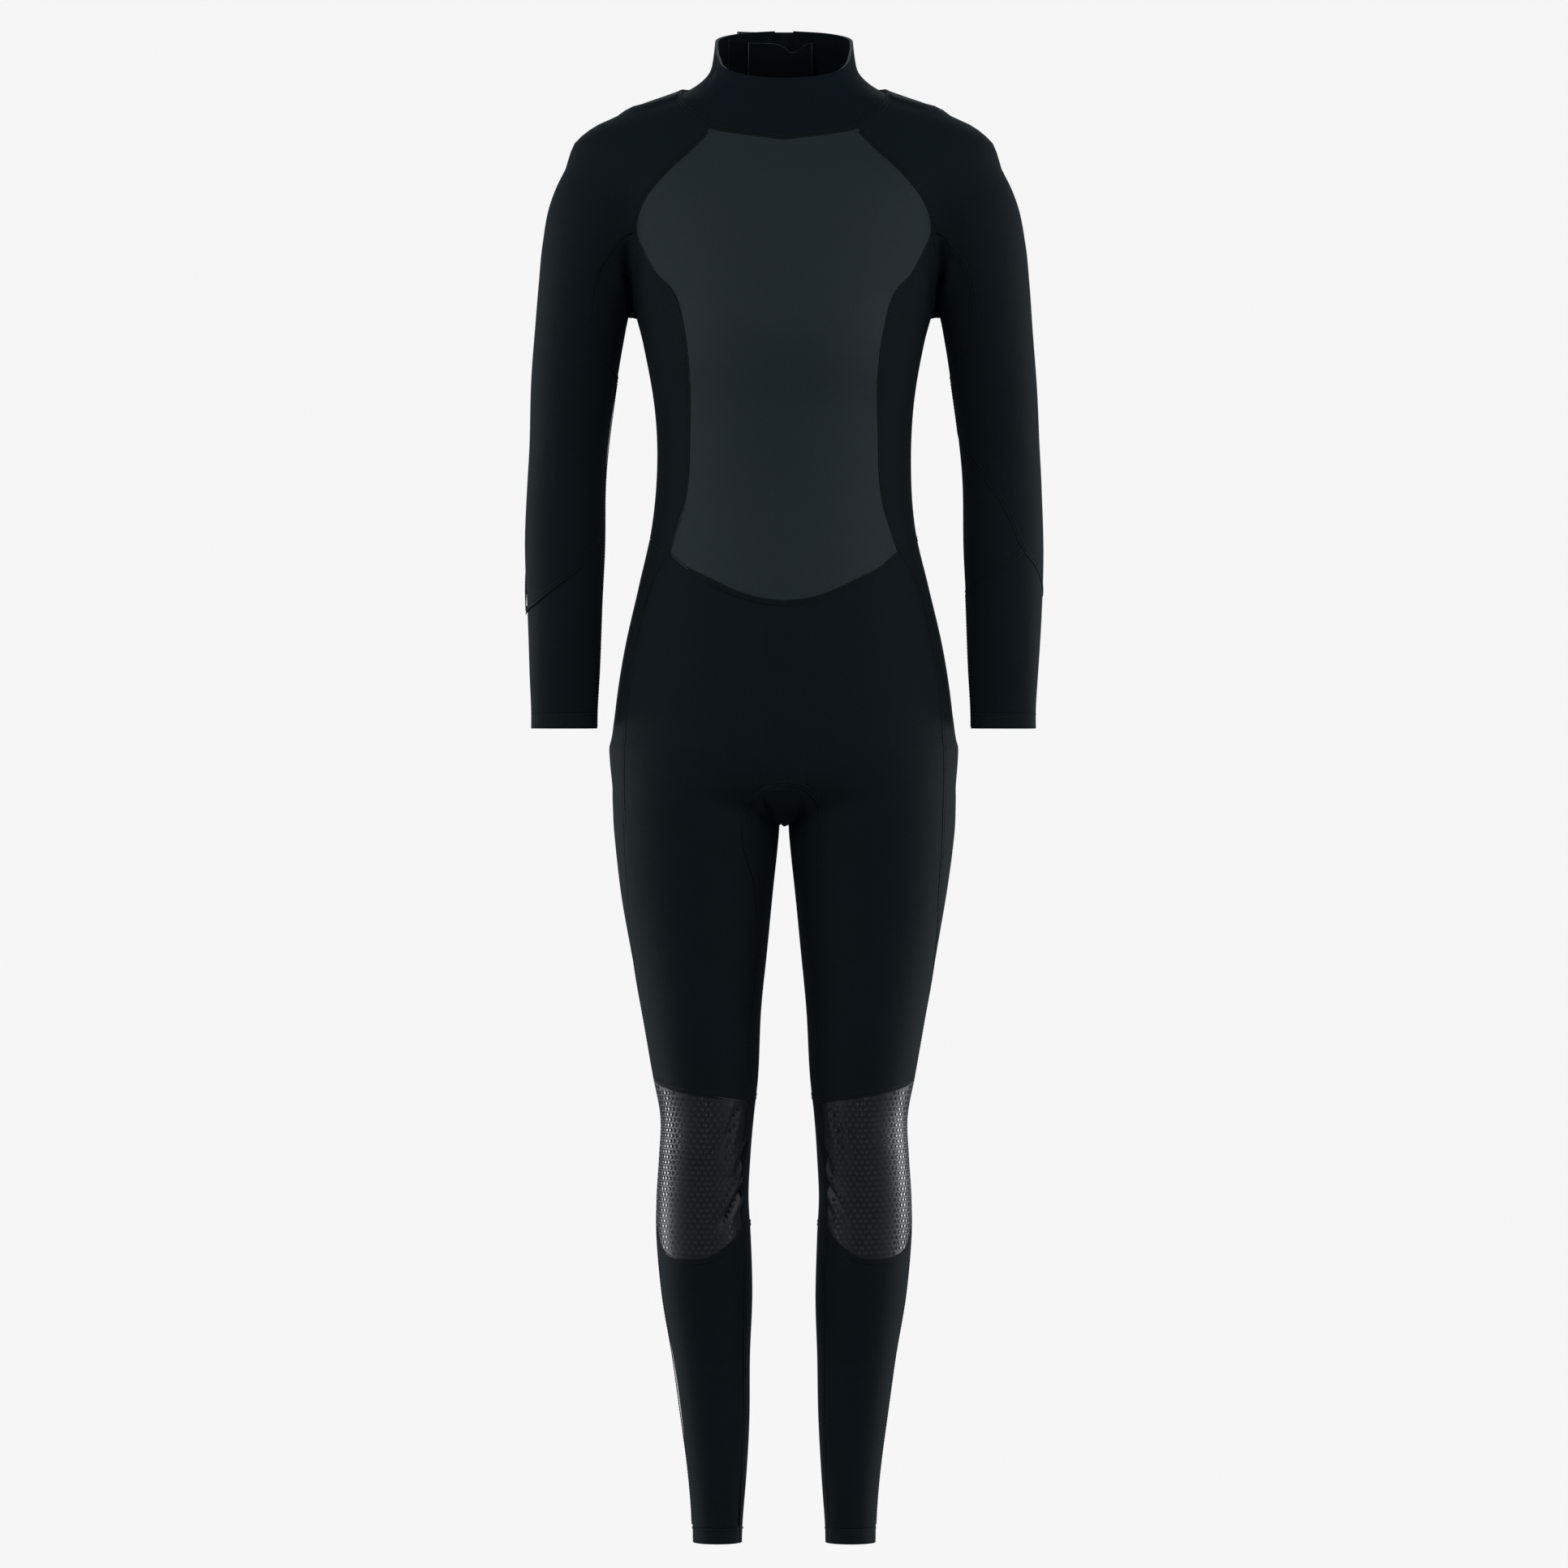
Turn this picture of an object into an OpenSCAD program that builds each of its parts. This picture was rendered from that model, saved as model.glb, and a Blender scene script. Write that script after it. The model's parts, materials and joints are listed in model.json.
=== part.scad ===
// Full-length back-zip wetsuit, hanging in the shape of its wearer.
// +X is the wearer's left, -Y the front, +Z up. The origin is the centre of the
// neck opening at the base of the collar. Heights in the tables and functions
// below are counted from the ankle hems, and suit() lowers the whole to the origin.

/* [Size] */
// Half width across the hips
hip_w = 165; // [158:1:170]
// Half width at the waist
waist_w = 121.5; // [116:0.5:128]
// Half width of the body under the arms
chest_w = 144; // [138:1:148]
// Depth of the bust in front of the middle plane
bust_depth = 118; // [108:1:126]
// Depth of the seat behind the middle plane
seat_depth = 123; // [112:1:130]
// Half width of one thigh at the crotch
thigh_w = 79; // [76:0.5:80]
// Half width of one calf
calf_w = 44.5; // [40:0.5:48]
// Half width of one ankle hem
ankle_w = 23.8; // [22:0.2:26]
// Half width of one wrist hem
wrist_w = 31.5; // [29:0.5:33]

/* [Neoprene] */
// Thickness of the panels
sheet_t = 3; // [2:0.5:3]
// Gap left at a butted seam
seam_gap = 1; // [0.8:0.1:1.6]
// Height of the turned hems at the wrists and ankles
hem_h = 15; // [12:1:18]

/* [Back zip] */
// Length of the zip tapes
zip_len = 486; // [440:2:488]
// Pitch of the teeth
tooth_pitch = 3; // [3:0.5:4]
// Width of one tape
tape_w = 14; // [12:1:16]
// Length of the slider
slider_len = 22; // [20:1:24]
// Length of the pull tab's plate
pull_len = 34; // [24:1:44]

/* [Collar] */
// Height of the neck opening's centre above the ankle hems
neck_z = 1360; // [1355:1:1365]
// Thickness of the hook patch and of the loop patch
patch_t = 0.85; // [0.6:0.05:0.9]

/* [Hidden] */

black = "#16191b";
charcoal = "#272b2f";
trim = "#0d0f10";
rubber = "#1b1e20";

wrist_z = 778;      // lower edge of the sleeves
zip_z = 884;        // lower end of the zip tapes
zip_y = 103.8;      // depth of the back's surface there
zip_tilt = 2.79;    // lean of the zip's straight line towards the neck
step = 0.4;         // step of the numeric slopes
girth_n = 2.15;     // power of the torso's rounded sections
back_w = 9;         // half width of the slot between the back panels

// ---- Numbers along a table of [height, value] stations ----
function sl(t, i) = let(a = max(i - 1, 0), b = min(i + 1, len(t) - 1)) (t[b][1] - t[a][1]) / (t[b][0] - t[a][0]);
function span(t, z, i = 0) = (i >= len(t) - 2 || z < t[i + 1][0]) ? i : span(t, z, i + 1);
function at(t, z) = let(q = min(max(z, t[0][0]), t[len(t) - 1][0]), i = span(t, q),
    h = t[i + 1][0] - t[i][0], s = (q - t[i][0]) / h)
  t[i][1] * (1 + s * s * (2 * s - 3)) + t[i + 1][1] * s * s * (3 - 2 * s)
  + h * s * (1 - s) * (sl(t, i) * (1 - s) - sl(t, i + 1) * s);
function mix(a, b, s) = a + (b - a) * s;
function unit(v) = v / max(norm(v), 1e-9);
function back_y(z) = zip_y - tan(zip_tilt) * (z - zip_z);

// ---- The wearer's form: half widths, depths and centre lines by height ----
torso_w = [[690, 60], [705, 110], [725, 146], [757, hip_w - 2], [795, hip_w - 4], [854, 152], [912, 139],
  [970, waist_w + 4.5], [1028, waist_w], [1086, waist_w + 2.5], [1145, chest_w - 10], [1183, chest_w],
  [1225, 153], [1265, 164], [1295, 184], [1318, 203], [1335, 200.5], [1346, 190], [1356, 175], [1366, 153],
  [1375, 126], [1387, 93], [1400, 75], [1412, 69], [1460, 64]];
torso_f = [[690, 12], [697, 50], [708, 76], [725, 94], [757, 103], [820, 104], [900, 99], [960, 93], [1010, 92],
  [1080, 100], [1130, bust_depth - 4], [1165, bust_depth], [1205, 112], [1260, 101], [1300, 89], [1340, 73],
  [1370, 64], [1400, 60], [1460, 60]];
torso_b = concat([[690, 12], [697, 54], [708, 84], [725, 106], [757, seat_depth - 3], [800, seat_depth],
  [850, 114]], [for (z = [880, 960, 1040, 1120, 1200, 1280, 1340, 1372]) [z, back_y(z)]],
  [[1400, 69], [1420, 61], [1460, 56]]);
arm_x = [[770, 209.5], [795, 209.5], [892, 210], [950, 209.5], [1009, 208.5], [1048, 206], [1106, 201],
  [1164, 194], [1203, 188], [1240, 181], [1280, 170], [1320, 150], [1345, 130]];
arm_w = [[770, wrist_w], [795, wrist_w], [834, 33.5], [892, 36], [950, 38.3], [1009, 37.5], [1048, 38],
  [1106, 41], [1164, 43.5], [1203, 46.5], [1240, 50], [1280, 53], [1310, 53], [1330, 48], [1345, 30]];
arm_d = [[770, 23], [800, 24], [850, 31], [900, 38], [950, 43], [1009, 44], [1060, 47], [1120, 51], [1180, 55],
  [1240, 58], [1290, 54], [1320, 44], [1345, 22]];
arm_y = [[770, -16], [850, -10], [950, 0], [1020, 6], [1100, 6], [1200, 2], [1300, 0], [1345, 0]];
leg_x = [[0, 63.5], [58, 63.5], [116, 65.5], [175, 69], [233, 73], [291, 76.5], [330, 77.5], [369, 75.5],
  [407, 73.5], [446, 75], [504, 78.5], [563, 81], [621, 83.5], [679, 84], [720, 84], [760, 82]];
leg_w = [[0, ankle_w], [20, 24.5], [58, 27.5], [116, 32.5], [175, 37], [233, 43], [291, calf_w], [330, 43.5],
  [369, 43.5], [407, 44.5], [446, 50], [504, 56.5], [563, 65], [621, 72.5], [679, thigh_w], [700, 80],
  [725, 80], [760, 74]];
leg_d = [[0, 35], [58, 37], [116, 41], [175, 47], [233, 53], [280, 56], [330, 54], [375, 54], [430, 60],
  [504, 70], [563, 78], [621, 86], [679, 95], [720, 100], [760, 96]];
leg_y = [[0, 4], [58, 6], [116, 9], [200, 12], [280, 8], [340, 0], [380, -4], [450, -2], [560, 2], [640, 6],
  [720, 9], [760, 9]];

// Distance outside a rounded section, close enough near its edge
function oval(x, y, a, b, n) = let(u = max(abs(x) / a, 1e-3), v = max(abs(y) / b, 1e-3),
    k = pow(pow(u, n) + pow(v, n), 1 / n))
  (k - 1) * pow(k, n - 1) / norm([pow(u, n - 1) / a, pow(v, n - 1) / b]);
// Two distances joined with a fillet
function weld(a, b, k) = let(h = max(k - abs(a - b), 0) / k) min(a, b) - h * h * k / 4;
arm_fillet = [[1176, 1], [1200, 10], [1240, 30], [1290, 22], [1330, 8]];
crotch_fillet = 28;
function torso(p) = p[2] < 690 ? 750 - p[2]
  : oval(p[0], p[1], at(torso_w, p[2]), at(p[1] < 0 ? torso_f : torso_b, p[2]), girth_n);
function arm(p) = let(z = p[2]) oval(abs(p[0]) - at(arm_x, z), p[1] - at(arm_y, z), at(arm_w, z), at(arm_d, z), 2)
  + max(1.5 * (z - 1345), 770 - z, 0);
function leg(p) = let(z = p[2]) oval(abs(p[0]) - at(leg_x, z), p[1] - at(leg_y, z), at(leg_w, z), at(leg_d, z), 2.1)
  + max(1.2 * (z - 760), 0);
function form(p) = let(b = p[2] > 740 && abs(p[0]) > 90
      ? weld(torso(p), arm(p), lookup(p[2], arm_fillet)) : torso(p))
  p[2] < 800 ? weld(b, leg(p), crotch_fillet) : b;
function slope(p) = unit([form(p + [step, 0, 0]) - form(p - [step, 0, 0]),
  form(p + [0, step, 0]) - form(p - [0, step, 0]), form(p + [0, 0, step]) - form(p - [0, 0, step])]);

// ---- Points on the form ----
// First point outwards from o along d, by halving
function cast(o, d, lo, hi, n = 15) = n == 0 ? o + d * (lo + hi) / 2
  : let(m = (lo + hi) / 2) form(o + d * m) < 0 ? cast(o, d, m, hi, n - 1) : cast(o, d, lo, m, n - 1);
function front(x, z) = cast([x, 0, z], [0, -1, 0], 0, 150);
function rear(x, z) = cast([x, 0, z], [0, 1, 0], 0, 150);
// Nearest point along o + t d, by Newton's steps from t
function reach(o, d, t, n = 5) = n == 0 ? o + d * t
  : let(f = form(o + d * t), g = (form(o + d * (t + 0.5)) - f) / 0.5)
    reach(o, d, t - min(max(f / max(g, 0.3), -8), 8), n - 1);
function settle(p, n = 5) = n == 0 ? p
  : let(g = slope(p), f = form(p)) settle(p - g * min(max(f, -6), 6), n - 1);
function far(d, a, b) = 1 / norm([d[0] / a, d[1] / b]);
// Around the torso: angle 0 is the front, 90 the wearer's left
function girth(q, z) = let(d = [sin(q), -cos(q), 0])
  reach([0, 0, z], d, far(d, at(torso_w, z), at(d[1] < 0 ? torso_f : torso_b, z)));
// Around the left arm or leg: angle 0 is outwards, 90 the front, 180 inwards
function arm_round(q, z) = let(d = [cos(q), -sin(q), 0])
  reach([at(arm_x, z), at(arm_y, z), z], d, far(d, at(arm_w, z), at(arm_d, z)));
function leg_round(q, z) = let(d = [cos(q), -sin(q), 0])
  reach([at(leg_x, z), at(leg_y, z), z], d, far(d, at(leg_w, z), at(leg_d, z)));
function turn(p) = atan2(p[0], -p[1]);
function leg_turn(p) = atan2(at(leg_y, p[2]) - p[1], p[0] - at(leg_x, p[2]));

// ---- Sheets ----
// Draws the rim of a grid in by g, so that neighbouring panels butt with a gap
function drawn_in(m, g) = let(r = len(m) - 1, c = len(m[0]) - 1)
  [for (i = [0:r]) [for (j = [0:c])
    m[i][j] + (i == 0 ? unit(m[1][j] - m[0][j]) : i == r ? unit(m[r - 1][j] - m[r][j]) : [0, 0, 0]) * g
    + (j == 0 ? unit(m[i][1] - m[i][0]) : j == c ? unit(m[i][c - 1] - m[i][c]) : [0, 0, 0]) * g]];
function two(a, b, c, d, flip) = flip ? [[a, c, b], [a, d, c]] : [[a, b, c], [a, c, d]];
// A closed sheet over a grid of points, from depth near to depth deep under the form's surface.
// The cells of rows from hole_row on, between the columns hole[0] and hole[1], are left out.
module sheet(m, near = 0, deep = sheet_t, hole_row = 1e6, hole = [0, 0]) {
  r = len(m) - 1;
  c = len(m[0]) - 1;
  flat = [for (row = m) each row];
  dirs = [for (p = flat) slope(p)];
  n = len(flat);
  k = floor(r / 2) * (c + 1) + floor(c / 4);
  flip = cross(flat[k + c + 1] - flat[k], flat[k + 1] - flat[k]) * dirs[k] < 0;
  function kept(i, j) = i >= 0 && j >= 0 && i < r && j < c && !(i >= hole_row && j >= hole[0] && j < hole[1]);
  faces = [for (i = [0:r - 1]) for (j = [0:c - 1]) if (kept(i, j))
    let(a = i * (c + 1) + j, b = a + c + 1, e = b + 1, d = a + 1)
    each concat(two(a, d, e, b, flip), two(n + a, n + b, n + e, n + d, flip),
      kept(i, j - 1) ? [] : two(a, b, n + b, n + a, flip), kept(i + 1, j) ? [] : two(b, e, n + e, n + b, flip),
      kept(i, j + 1) ? [] : two(e, d, n + d, n + e, flip), kept(i - 1, j) ? [] : two(d, a, n + a, n + d, flip))];
  used = [for (i = [0:r]) for (j = [0:c]) kept(i, j) || kept(i - 1, j) || kept(i, j - 1) || kept(i - 1, j - 1)];
  rank = [for (s = 0, i = 0; i < n; s = s + (used[i] ? 1 : 0), i = i + 1) s];
  total = len([for (u = used) if (u) 1]);
  points = concat([for (i = [0:n - 1]) if (used[i]) flat[i] - dirs[i] * near],
    [for (i = [0:n - 1]) if (used[i]) flat[i] - dirs[i] * deep]);
  polyhedron(points, [for (f = faces) [for (v = f) v < n ? rank[v] : total + rank[v - n]]]);
}
module panel(m, tint = black) suit() color(tint) sheet(drawn_in(m, seam_gap / 2));
module suit() translate([0, 0, -neck_z]) children();
module pair(left) if (left) children(); else mirror([1, 0, 0]) children();

// ---- Seams, as [distance from the middle, height] ----
raglan = [[143, 1250], [139, 1270], [130, 1287], [112, 1308], [90, 1328], [68, 1350]];
back_raglan = [[143, 1250], [139, 1275], [129, 1301], [110, 1328], [89, 1356], [60, 1388]];
chest_side = [[110, 945], [94, 1000], [91, 1064], [91, 1116], [97, 1160], [106, 1190], [122, 1208], [135, 1234],
  [143, 1250]];
back_side = [[116, 950], [112, 1000], [113, 1064], [116, 1116], [120, 1160], [124, 1190], [130, 1208],
  [137, 1234], [143, 1250]];
side_dip = [-12, -4, 6, 18, 34, 46, 56, 72, 82];
chest_hem = [[0, 897], [22, 899], [48, 907], [75, 920], [92, 929], [110, 945]];
back_hem = [[back_w, 884], [30, 889], [60, 905], [88, 926], [116, 950]];
hip_seam = [[621, 148], [659, 151], [693, 152], [733, 153], [773, 152], [822, 147], [876, 138], [917, 127],
  [945, 112]];
gusset_seam = [[426, 40], [455, 37], [500, 31], [545, 26], [590, 25], [621, 26], [640, 29], [662, 36], [686, 38],
  [708, 34], [722, 20]];
collar_seam = [[0, 1339], [33, 1345], [47, 1350], [52, 1358], [63, 1370], [75, 1381], [90, 1385], [110, 1387],
  [180, 1390]];
collar_rim = [[0, 1397], [40, 1406], [90, 1422], [135, 1440], [180, 1449]];
pad_top = [[4, 446], [40, 439], [90, 430], [140, 423]];
pad_base = [[4, 317], [16, 296], [40, 277], [90, 271], [115, 284], [140, 303]];
gusset_top = 722;
// Upper edge of the panel behind the knee, from angle 4 back round to -220
function knee_back_top(q) = mix(446, 423, (4 - q) / 224);

// ---- Torso panels ----
// Chest and yoke in one: from the curved hem up the sides, round the raglan and up to the collar
module chest_panel() {
  side = concat(chest_side, [for (i = [1:5]) raglan[i]]);
  cols = [for (j = [-5:5]) sign(j) * chest_hem[abs(j)][0] / 110];
  panel([for (s = side) let(low = max(0, 1 - (s[1] - 945) / 120), high = max(0, 1 - (1350 - s[1]) / 60))
    [for (j = [0:10]) front(cols[j] * s[0],
      s[1] + low * (chest_hem[abs(j - 5)][1] - 945) - high * 11 * (1 - pow(cols[j], 2)))]], charcoal);
}
function side_edge(i, t) = let(f = chest_side[i], b = back_side[i],
    qf = turn(front(f[0], f[1])), qb = turn(rear(b[0], b[1])))
  girth(mix(qf, qb, t), mix(f[1], b[1], t) - side_dip[i] * sin(180 * t));
module side_panel(left) pair(left) panel([for (i = [0:8]) [for (j = [0:8]) side_edge(i, j / 8)]]);
module back_panel(left) pair(left) {
  side = concat(back_side, [for (i = [1:4]) back_raglan[i]], [(back_raglan[4] + back_raglan[5]) / 2, back_raglan[5]]);
  panel([for (s = side) let(low = max(0, 1 - (s[1] - 950) / 120), high = max(0, 1 - (1388 - s[1]) / 90))
    [for (j = [0:4]) let(u = (back_hem[j][0] - back_w) / 107)
      rear(mix(back_w, s[0], u), s[1] + low * (back_hem[j][1] - 950) + high * 2 * (1 - pow(u, 2)))]]);
}

// ---- Front and rear of the hips and thighs ----
thigh_rows = [690, 655, 621, 575, 530, 480];
seat_cols = 10;
belly_cols = 8;
function both_sides(p, j) = [sign(j) * p[0], p[1], p[2]];
function share(j, n) = max((abs(j) - 2) / (n - 2), 0);
// Angles round the leg of the hip seam and of the gusset's front seam
function thigh_edges(z) = [z > 621 ? leg_turn(front(at(hip_seam, z), z))
    : mix(leg_turn(front(148, 621)), 4, min(1, (621 - z) / 100)), leg_turn(front(at(gusset_seam, z), z))];
module front_lower_panel() {
  top = [for (i = [0:5]) [for (j = [-belly_cols:belly_cols]) let(s = share(j, belly_cols), in = min(abs(j), 2) * 10,
      z = mix(lookup(mix(in, 112, s), chest_hem), gusset_top, i / 5))
      front(sign(j) * (s > 0 ? mix(20, at(hip_seam, z), s) : in), z)]];
  low = [for (z = thigh_rows) let(q = thigh_edges(z)) [for (j = [-belly_cols:belly_cols])
      both_sides(leg_round(mix(q[1], q[0], share(j, belly_cols)), z), j + 0.1)]];
  knee = [for (j = [-belly_cols:belly_cols]) let(q = mix(140, 4, share(j, belly_cols)))
      both_sides(leg_round(q, lookup(q, pad_top)), j + 0.1)];
  suit() color(black) sheet(notched(drawn_in(concat(top, low, [knee]), seam_gap / 2), belly_cols),
    hole_row = 5, hole = [belly_cols - 2, belly_cols + 2]);
}
// Opens the notch for the gusset by half a seam gap
function notched(m, c) = [for (i = [0:len(m) - 1]) [for (j = [0:2 * c])
  m[i][j] + (i > 5 && abs(j - c) == 2 ? [sign(j - c) * seam_gap / 2, 0, 0]
    : i == 5 && abs(j - c) <= 2 ? [0, 0, seam_gap / 2] : [0, 0, 0])]];
// Height of the rear panel's upper edge at an angle round the hips
function seat_top(q) = let(qf = turn(front(110, 945)), qb = turn(rear(116, 950)), t = (q - qf) / (qb - qf))
  t < 1 ? mix(945, 950, t) + 12 * sin(180 * t)
  : lookup(girth(q, lookup(girth(q, 930)[0], back_hem))[0], back_hem) - seam_gap * 0.7;
module seat_panel() {
  qr = turn(rear(20, gusset_top));
  top = [for (i = [0:5]) [for (j = [-seat_cols:seat_cols]) let(s = share(j, seat_cols), zf = mix(945, gusset_top, i / 5),
      qf = turn(front(at(hip_seam, zf), zf)), q = s > 0 ? mix(qr, qf, s) : 180 - (180 - qr) * abs(j) / 2)
      both_sides(girth(q, mix(seat_top(q), gusset_top, i / 5)), j + 0.1)]];
  low = [for (z = thigh_rows) let(q = thigh_edges(z)) [for (j = [-seat_cols:seat_cols])
      both_sides(leg_round(mix(-q[1], q[0], share(j, seat_cols)), z), j + 0.1)]];
  knee = [for (j = [-seat_cols:seat_cols]) let(s = share(j, seat_cols))
      let(q = mix(-140, 4, s)) both_sides(leg_round(q, knee_back_top(q)), j + 0.1)];
  suit() color(black) sheet(notched(drawn_in(concat(top, low, [knee]), seam_gap / 2), seat_cols),
    hole_row = 5, hole = [seat_cols - 2, seat_cols + 2]);
}

// ---- Gussets ----
function bow(f, m, b, t) = f * (1 - t) * (1 - t) + (2 * m - (f + b) / 2) * 2 * t * (1 - t) + b * t * t;
// One side of the crotch gusset, from the middle of the crotch down the leg's inside to the knee
function gusset_side(e) = concat(
  [for (w = [[0, gusset_top, 0, 691.5], [20, gusset_top, 4, 684], [at(gusset_seam, 690), 690, 7, 664]])
    [for (j = [0:6]) both_sides(settle(bow(front(w[0], w[1]), [w[2], 0, w[3]], rear(w[0], w[1]), j / 6)), e)]],
  [for (i = [1:5]) let(z = thigh_rows[i], q = thigh_edges(z)[1])
    [for (j = [0:6]) both_sides(leg_round(mix(q, 360 - q, j / 6), z), e)]],
  [[for (j = [0:6]) let(q = mix(140, 220, j / 6)) both_sides(leg_round(q, knee_back_top(q - 360)), e)]]);
module crotch_gusset() {
  side = gusset_side(1);
  other = gusset_side(-1);
  panel(concat([for (i = [8:-1:1]) other[i]], side));
}
// Front seam of the underarm gusset on the sleeve: angle round the arm by height
underarm_seam = [[1108, 178], [1140, 114], [1190, 100], [1222, 106]];
underarm_rows = [1222, 1190, 1140];
function underarm_edge(k) = k == 0 ? front(143, 1249) : k == 8 ? rear(143, 1249)
  : k == 4 ? arm_round(180, 1108) : k < 4 ? arm_round(lookup(underarm_rows[k - 1], underarm_seam), underarm_rows[k - 1])
  : arm_round(-lookup(underarm_rows[7 - k], underarm_seam), underarm_rows[7 - k]);
function underarm_col(k) = let(t = min(max(k, 0.4), 7.6) / 8, k0 = floor(t * 8), s = t * 8 - k0,
    a = side_edge(8, t), b = mix(underarm_edge(k0), underarm_edge(min(k0 + 1, 8)), s),
    top = [mix(a, b, 0.5)[0], mix(a, b, 0.5)[1], 1250 - 62 * pow(sin(180 * t), 0.6)])
  [for (i = [0:6]) settle(i == 0 ? a : i == 6 ? b : bow(a, top, b, i / 6))];
module underarm_gusset(left) pair(left) {
  cols = [for (k = [0:8]) underarm_col(k)];
  panel([for (i = [0:6]) [for (k = [0:8]) cols[k][i]]]);
}

// ---- Sleeves ----
// The left sleeve's seam climbs from its outer edge over the front; the right sleeve hangs turned
// inwards, so its elbow panel faces backwards. Stations are [angle round the arm, height].
round_n = 16;
edge_q = 179.2;
left_ring = [edge_q, 155, 130, 108, 81, 64, 40, 20, 0, -20, -40, -64, -81, -108, -130, -155, -edge_q];
right_ring = [edge_q, 160, 140, 120, 100, 75, 45, 22, 0, -22, -45, -67, -90, -112, -135, -157, -edge_q];
tip = 3; // height of the elbow panel where its two edges meet
left_upper = [[-180, 1067], [-120, 1027], [-90, 995], [-64, 949], [-40, 935], [0, 905], [40, 935], [64, 949],
  [90, 995], [120, 1027], [180, 1067]];
left_lower = [[-180, 905], [-108, 926], [-81, 938], [-64, 949], [-40, 935], [0, 905], [40, 935], [64, 949],
  [81, 938], [108, 926], [180, 905]];
right_upper = [[-180, 974], [-135, 1030], [-90, 1067], [-45, 985], [0, 889], [45, 899], [75, 913], [100, 926],
  [120, 940], [140, 956], [180, 974]];
right_lower = [[-180, 974], [-135, 950], [-90, 925], [-45, 900], [0, 889], [45, 899], [75, 913], [100, 926],
  [120, 940], [140, 956], [180, 974]];
function upper_z(left, q) = lookup(q, left ? left_upper : right_upper);
function elbow_spans(left, q) = left ? abs(q) >= 64 : q <= 0;
function lower_z(left, q) = min(lookup(q, left ? left_lower : right_lower),
  upper_z(left, q) - (elbow_spans(left, q) ? tip : 0));
function ring(left, j) = left ? left_ring[j] : right_ring[j];
function arm_q(j, half) = mix(half, -half, j / round_n);
// Rows that fan out from the raglan seams over the shoulder, with the lean of each row. The last is the collar seam.
fan_lean = [0, 10, 24, 38, 48];
function fan_row(i) = [for (j = [0:round_n]) let(q = arm_q(j, 90), o = mix(raglan[i], back_raglan[i], j / round_n),
    w = fan_lean[i]) cast([o[0], 0, o[1]], [cos(q) * cos(w), -sin(q), cos(q) * sin(w)], 0, 130)];
function neck_row(q0, q1) = [for (j = [0:round_n]) let(q = mix(q0, q1, j / round_n)) girth(q, lookup(q, collar_seam))];
module raglan_sleeve(left) pair(left) panel(concat(
  [neck_row(turn(front(68, 1350)), turn(rear(60, 1388)))],
  [for (i = [4:-1:0]) fan_row(i)],
  [for (z = underarm_rows) [for (j = [0:round_n]) arm_round(arm_q(j, lookup(z, underarm_seam)), z)]],
  [for (i = [0:3]) [for (j = [0:round_n]) let(q = ring(left, j)) arm_round(q, mix(1108, upper_z(left, q), i / 3))]]));
// The left elbow panel runs round the inner side, across the sleeve's own seam
module elbow_panel(left) pair(left) {
  across = left ? [64, 81, 108, 130, 155, 180, 205, 230, 252, 279, 296] : [for (k = [16:-1:8]) right_ring[k]];
  panel([for (i = [0:4]) [for (q = across) let(w = q > 180 ? q - 360 : q)
    arm_round(q, mix(upper_z(left, w), lower_z(left, w), i / 4))]]);
}
module forearm_panel(left) pair(left) panel([for (i = [0:4]) [for (j = [0:round_n]) let(q = ring(left, j))
  arm_round(q, mix(lower_z(left, q), wrist_z + hem_h, i / 4))]]);
module wrist_hem(left) pair(left) panel([for (z = [wrist_z + hem_h, wrist_z + seam_gap / -2])
  [for (j = [0:round_n]) arm_round(ring(left, j), z)]]);

// ---- Lower legs ----
module knee_pad(left) pair(left) panel([for (i = [0:6]) [for (j = [0:8]) let(q = mix(4, 140, j / 8))
    leg_round(q, mix(lookup(q, pad_top), lookup(q, pad_base), i / 6))]], rubber);
module knee_back_panel(left) pair(left) panel([for (i = [0:4]) [for (j = [0:8]) let(s = j / 8, q = mix(4, -220, s))
    leg_round(q, mix(knee_back_top(q), mix(317, 303, s), i / 4))]]);
module shin_panel(left) pair(left) panel([for (i = [0:5]) [for (j = [0:8]) let(q = mix(4, 140, j / 8))
    leg_round(q, mix(lookup(q, pad_base), hem_h, i / 5))]]);
module calf_panel(left) pair(left) panel([for (i = [0:5]) [for (j = [0:8]) let(s = j / 8)
    leg_round(mix(4, -220, s), mix(mix(317, 303, s), hem_h, i / 5))]]);
module ankle_hem(left) pair(left) panel([for (z = [hem_h, seam_gap / -2]) [for (j = [0:round_n])
    leg_round(mix(139, -220, j / round_n) , z)]]);

// ---- Collar ----
function collar_z(q, s) = mix(lookup(abs(q), collar_seam), lookup(abs(q), collar_rim), s);
collar_end = 171; // angle at which the collar ends beside the zip
module collar() suit() color(black) sheet(drawn_in([for (i = [0:3]) [for (j = [0:36])
  let(q = mix(-collar_end, collar_end, j / 36)) girth(q, collar_z(q, i / 3))]], seam_gap / 2));
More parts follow.
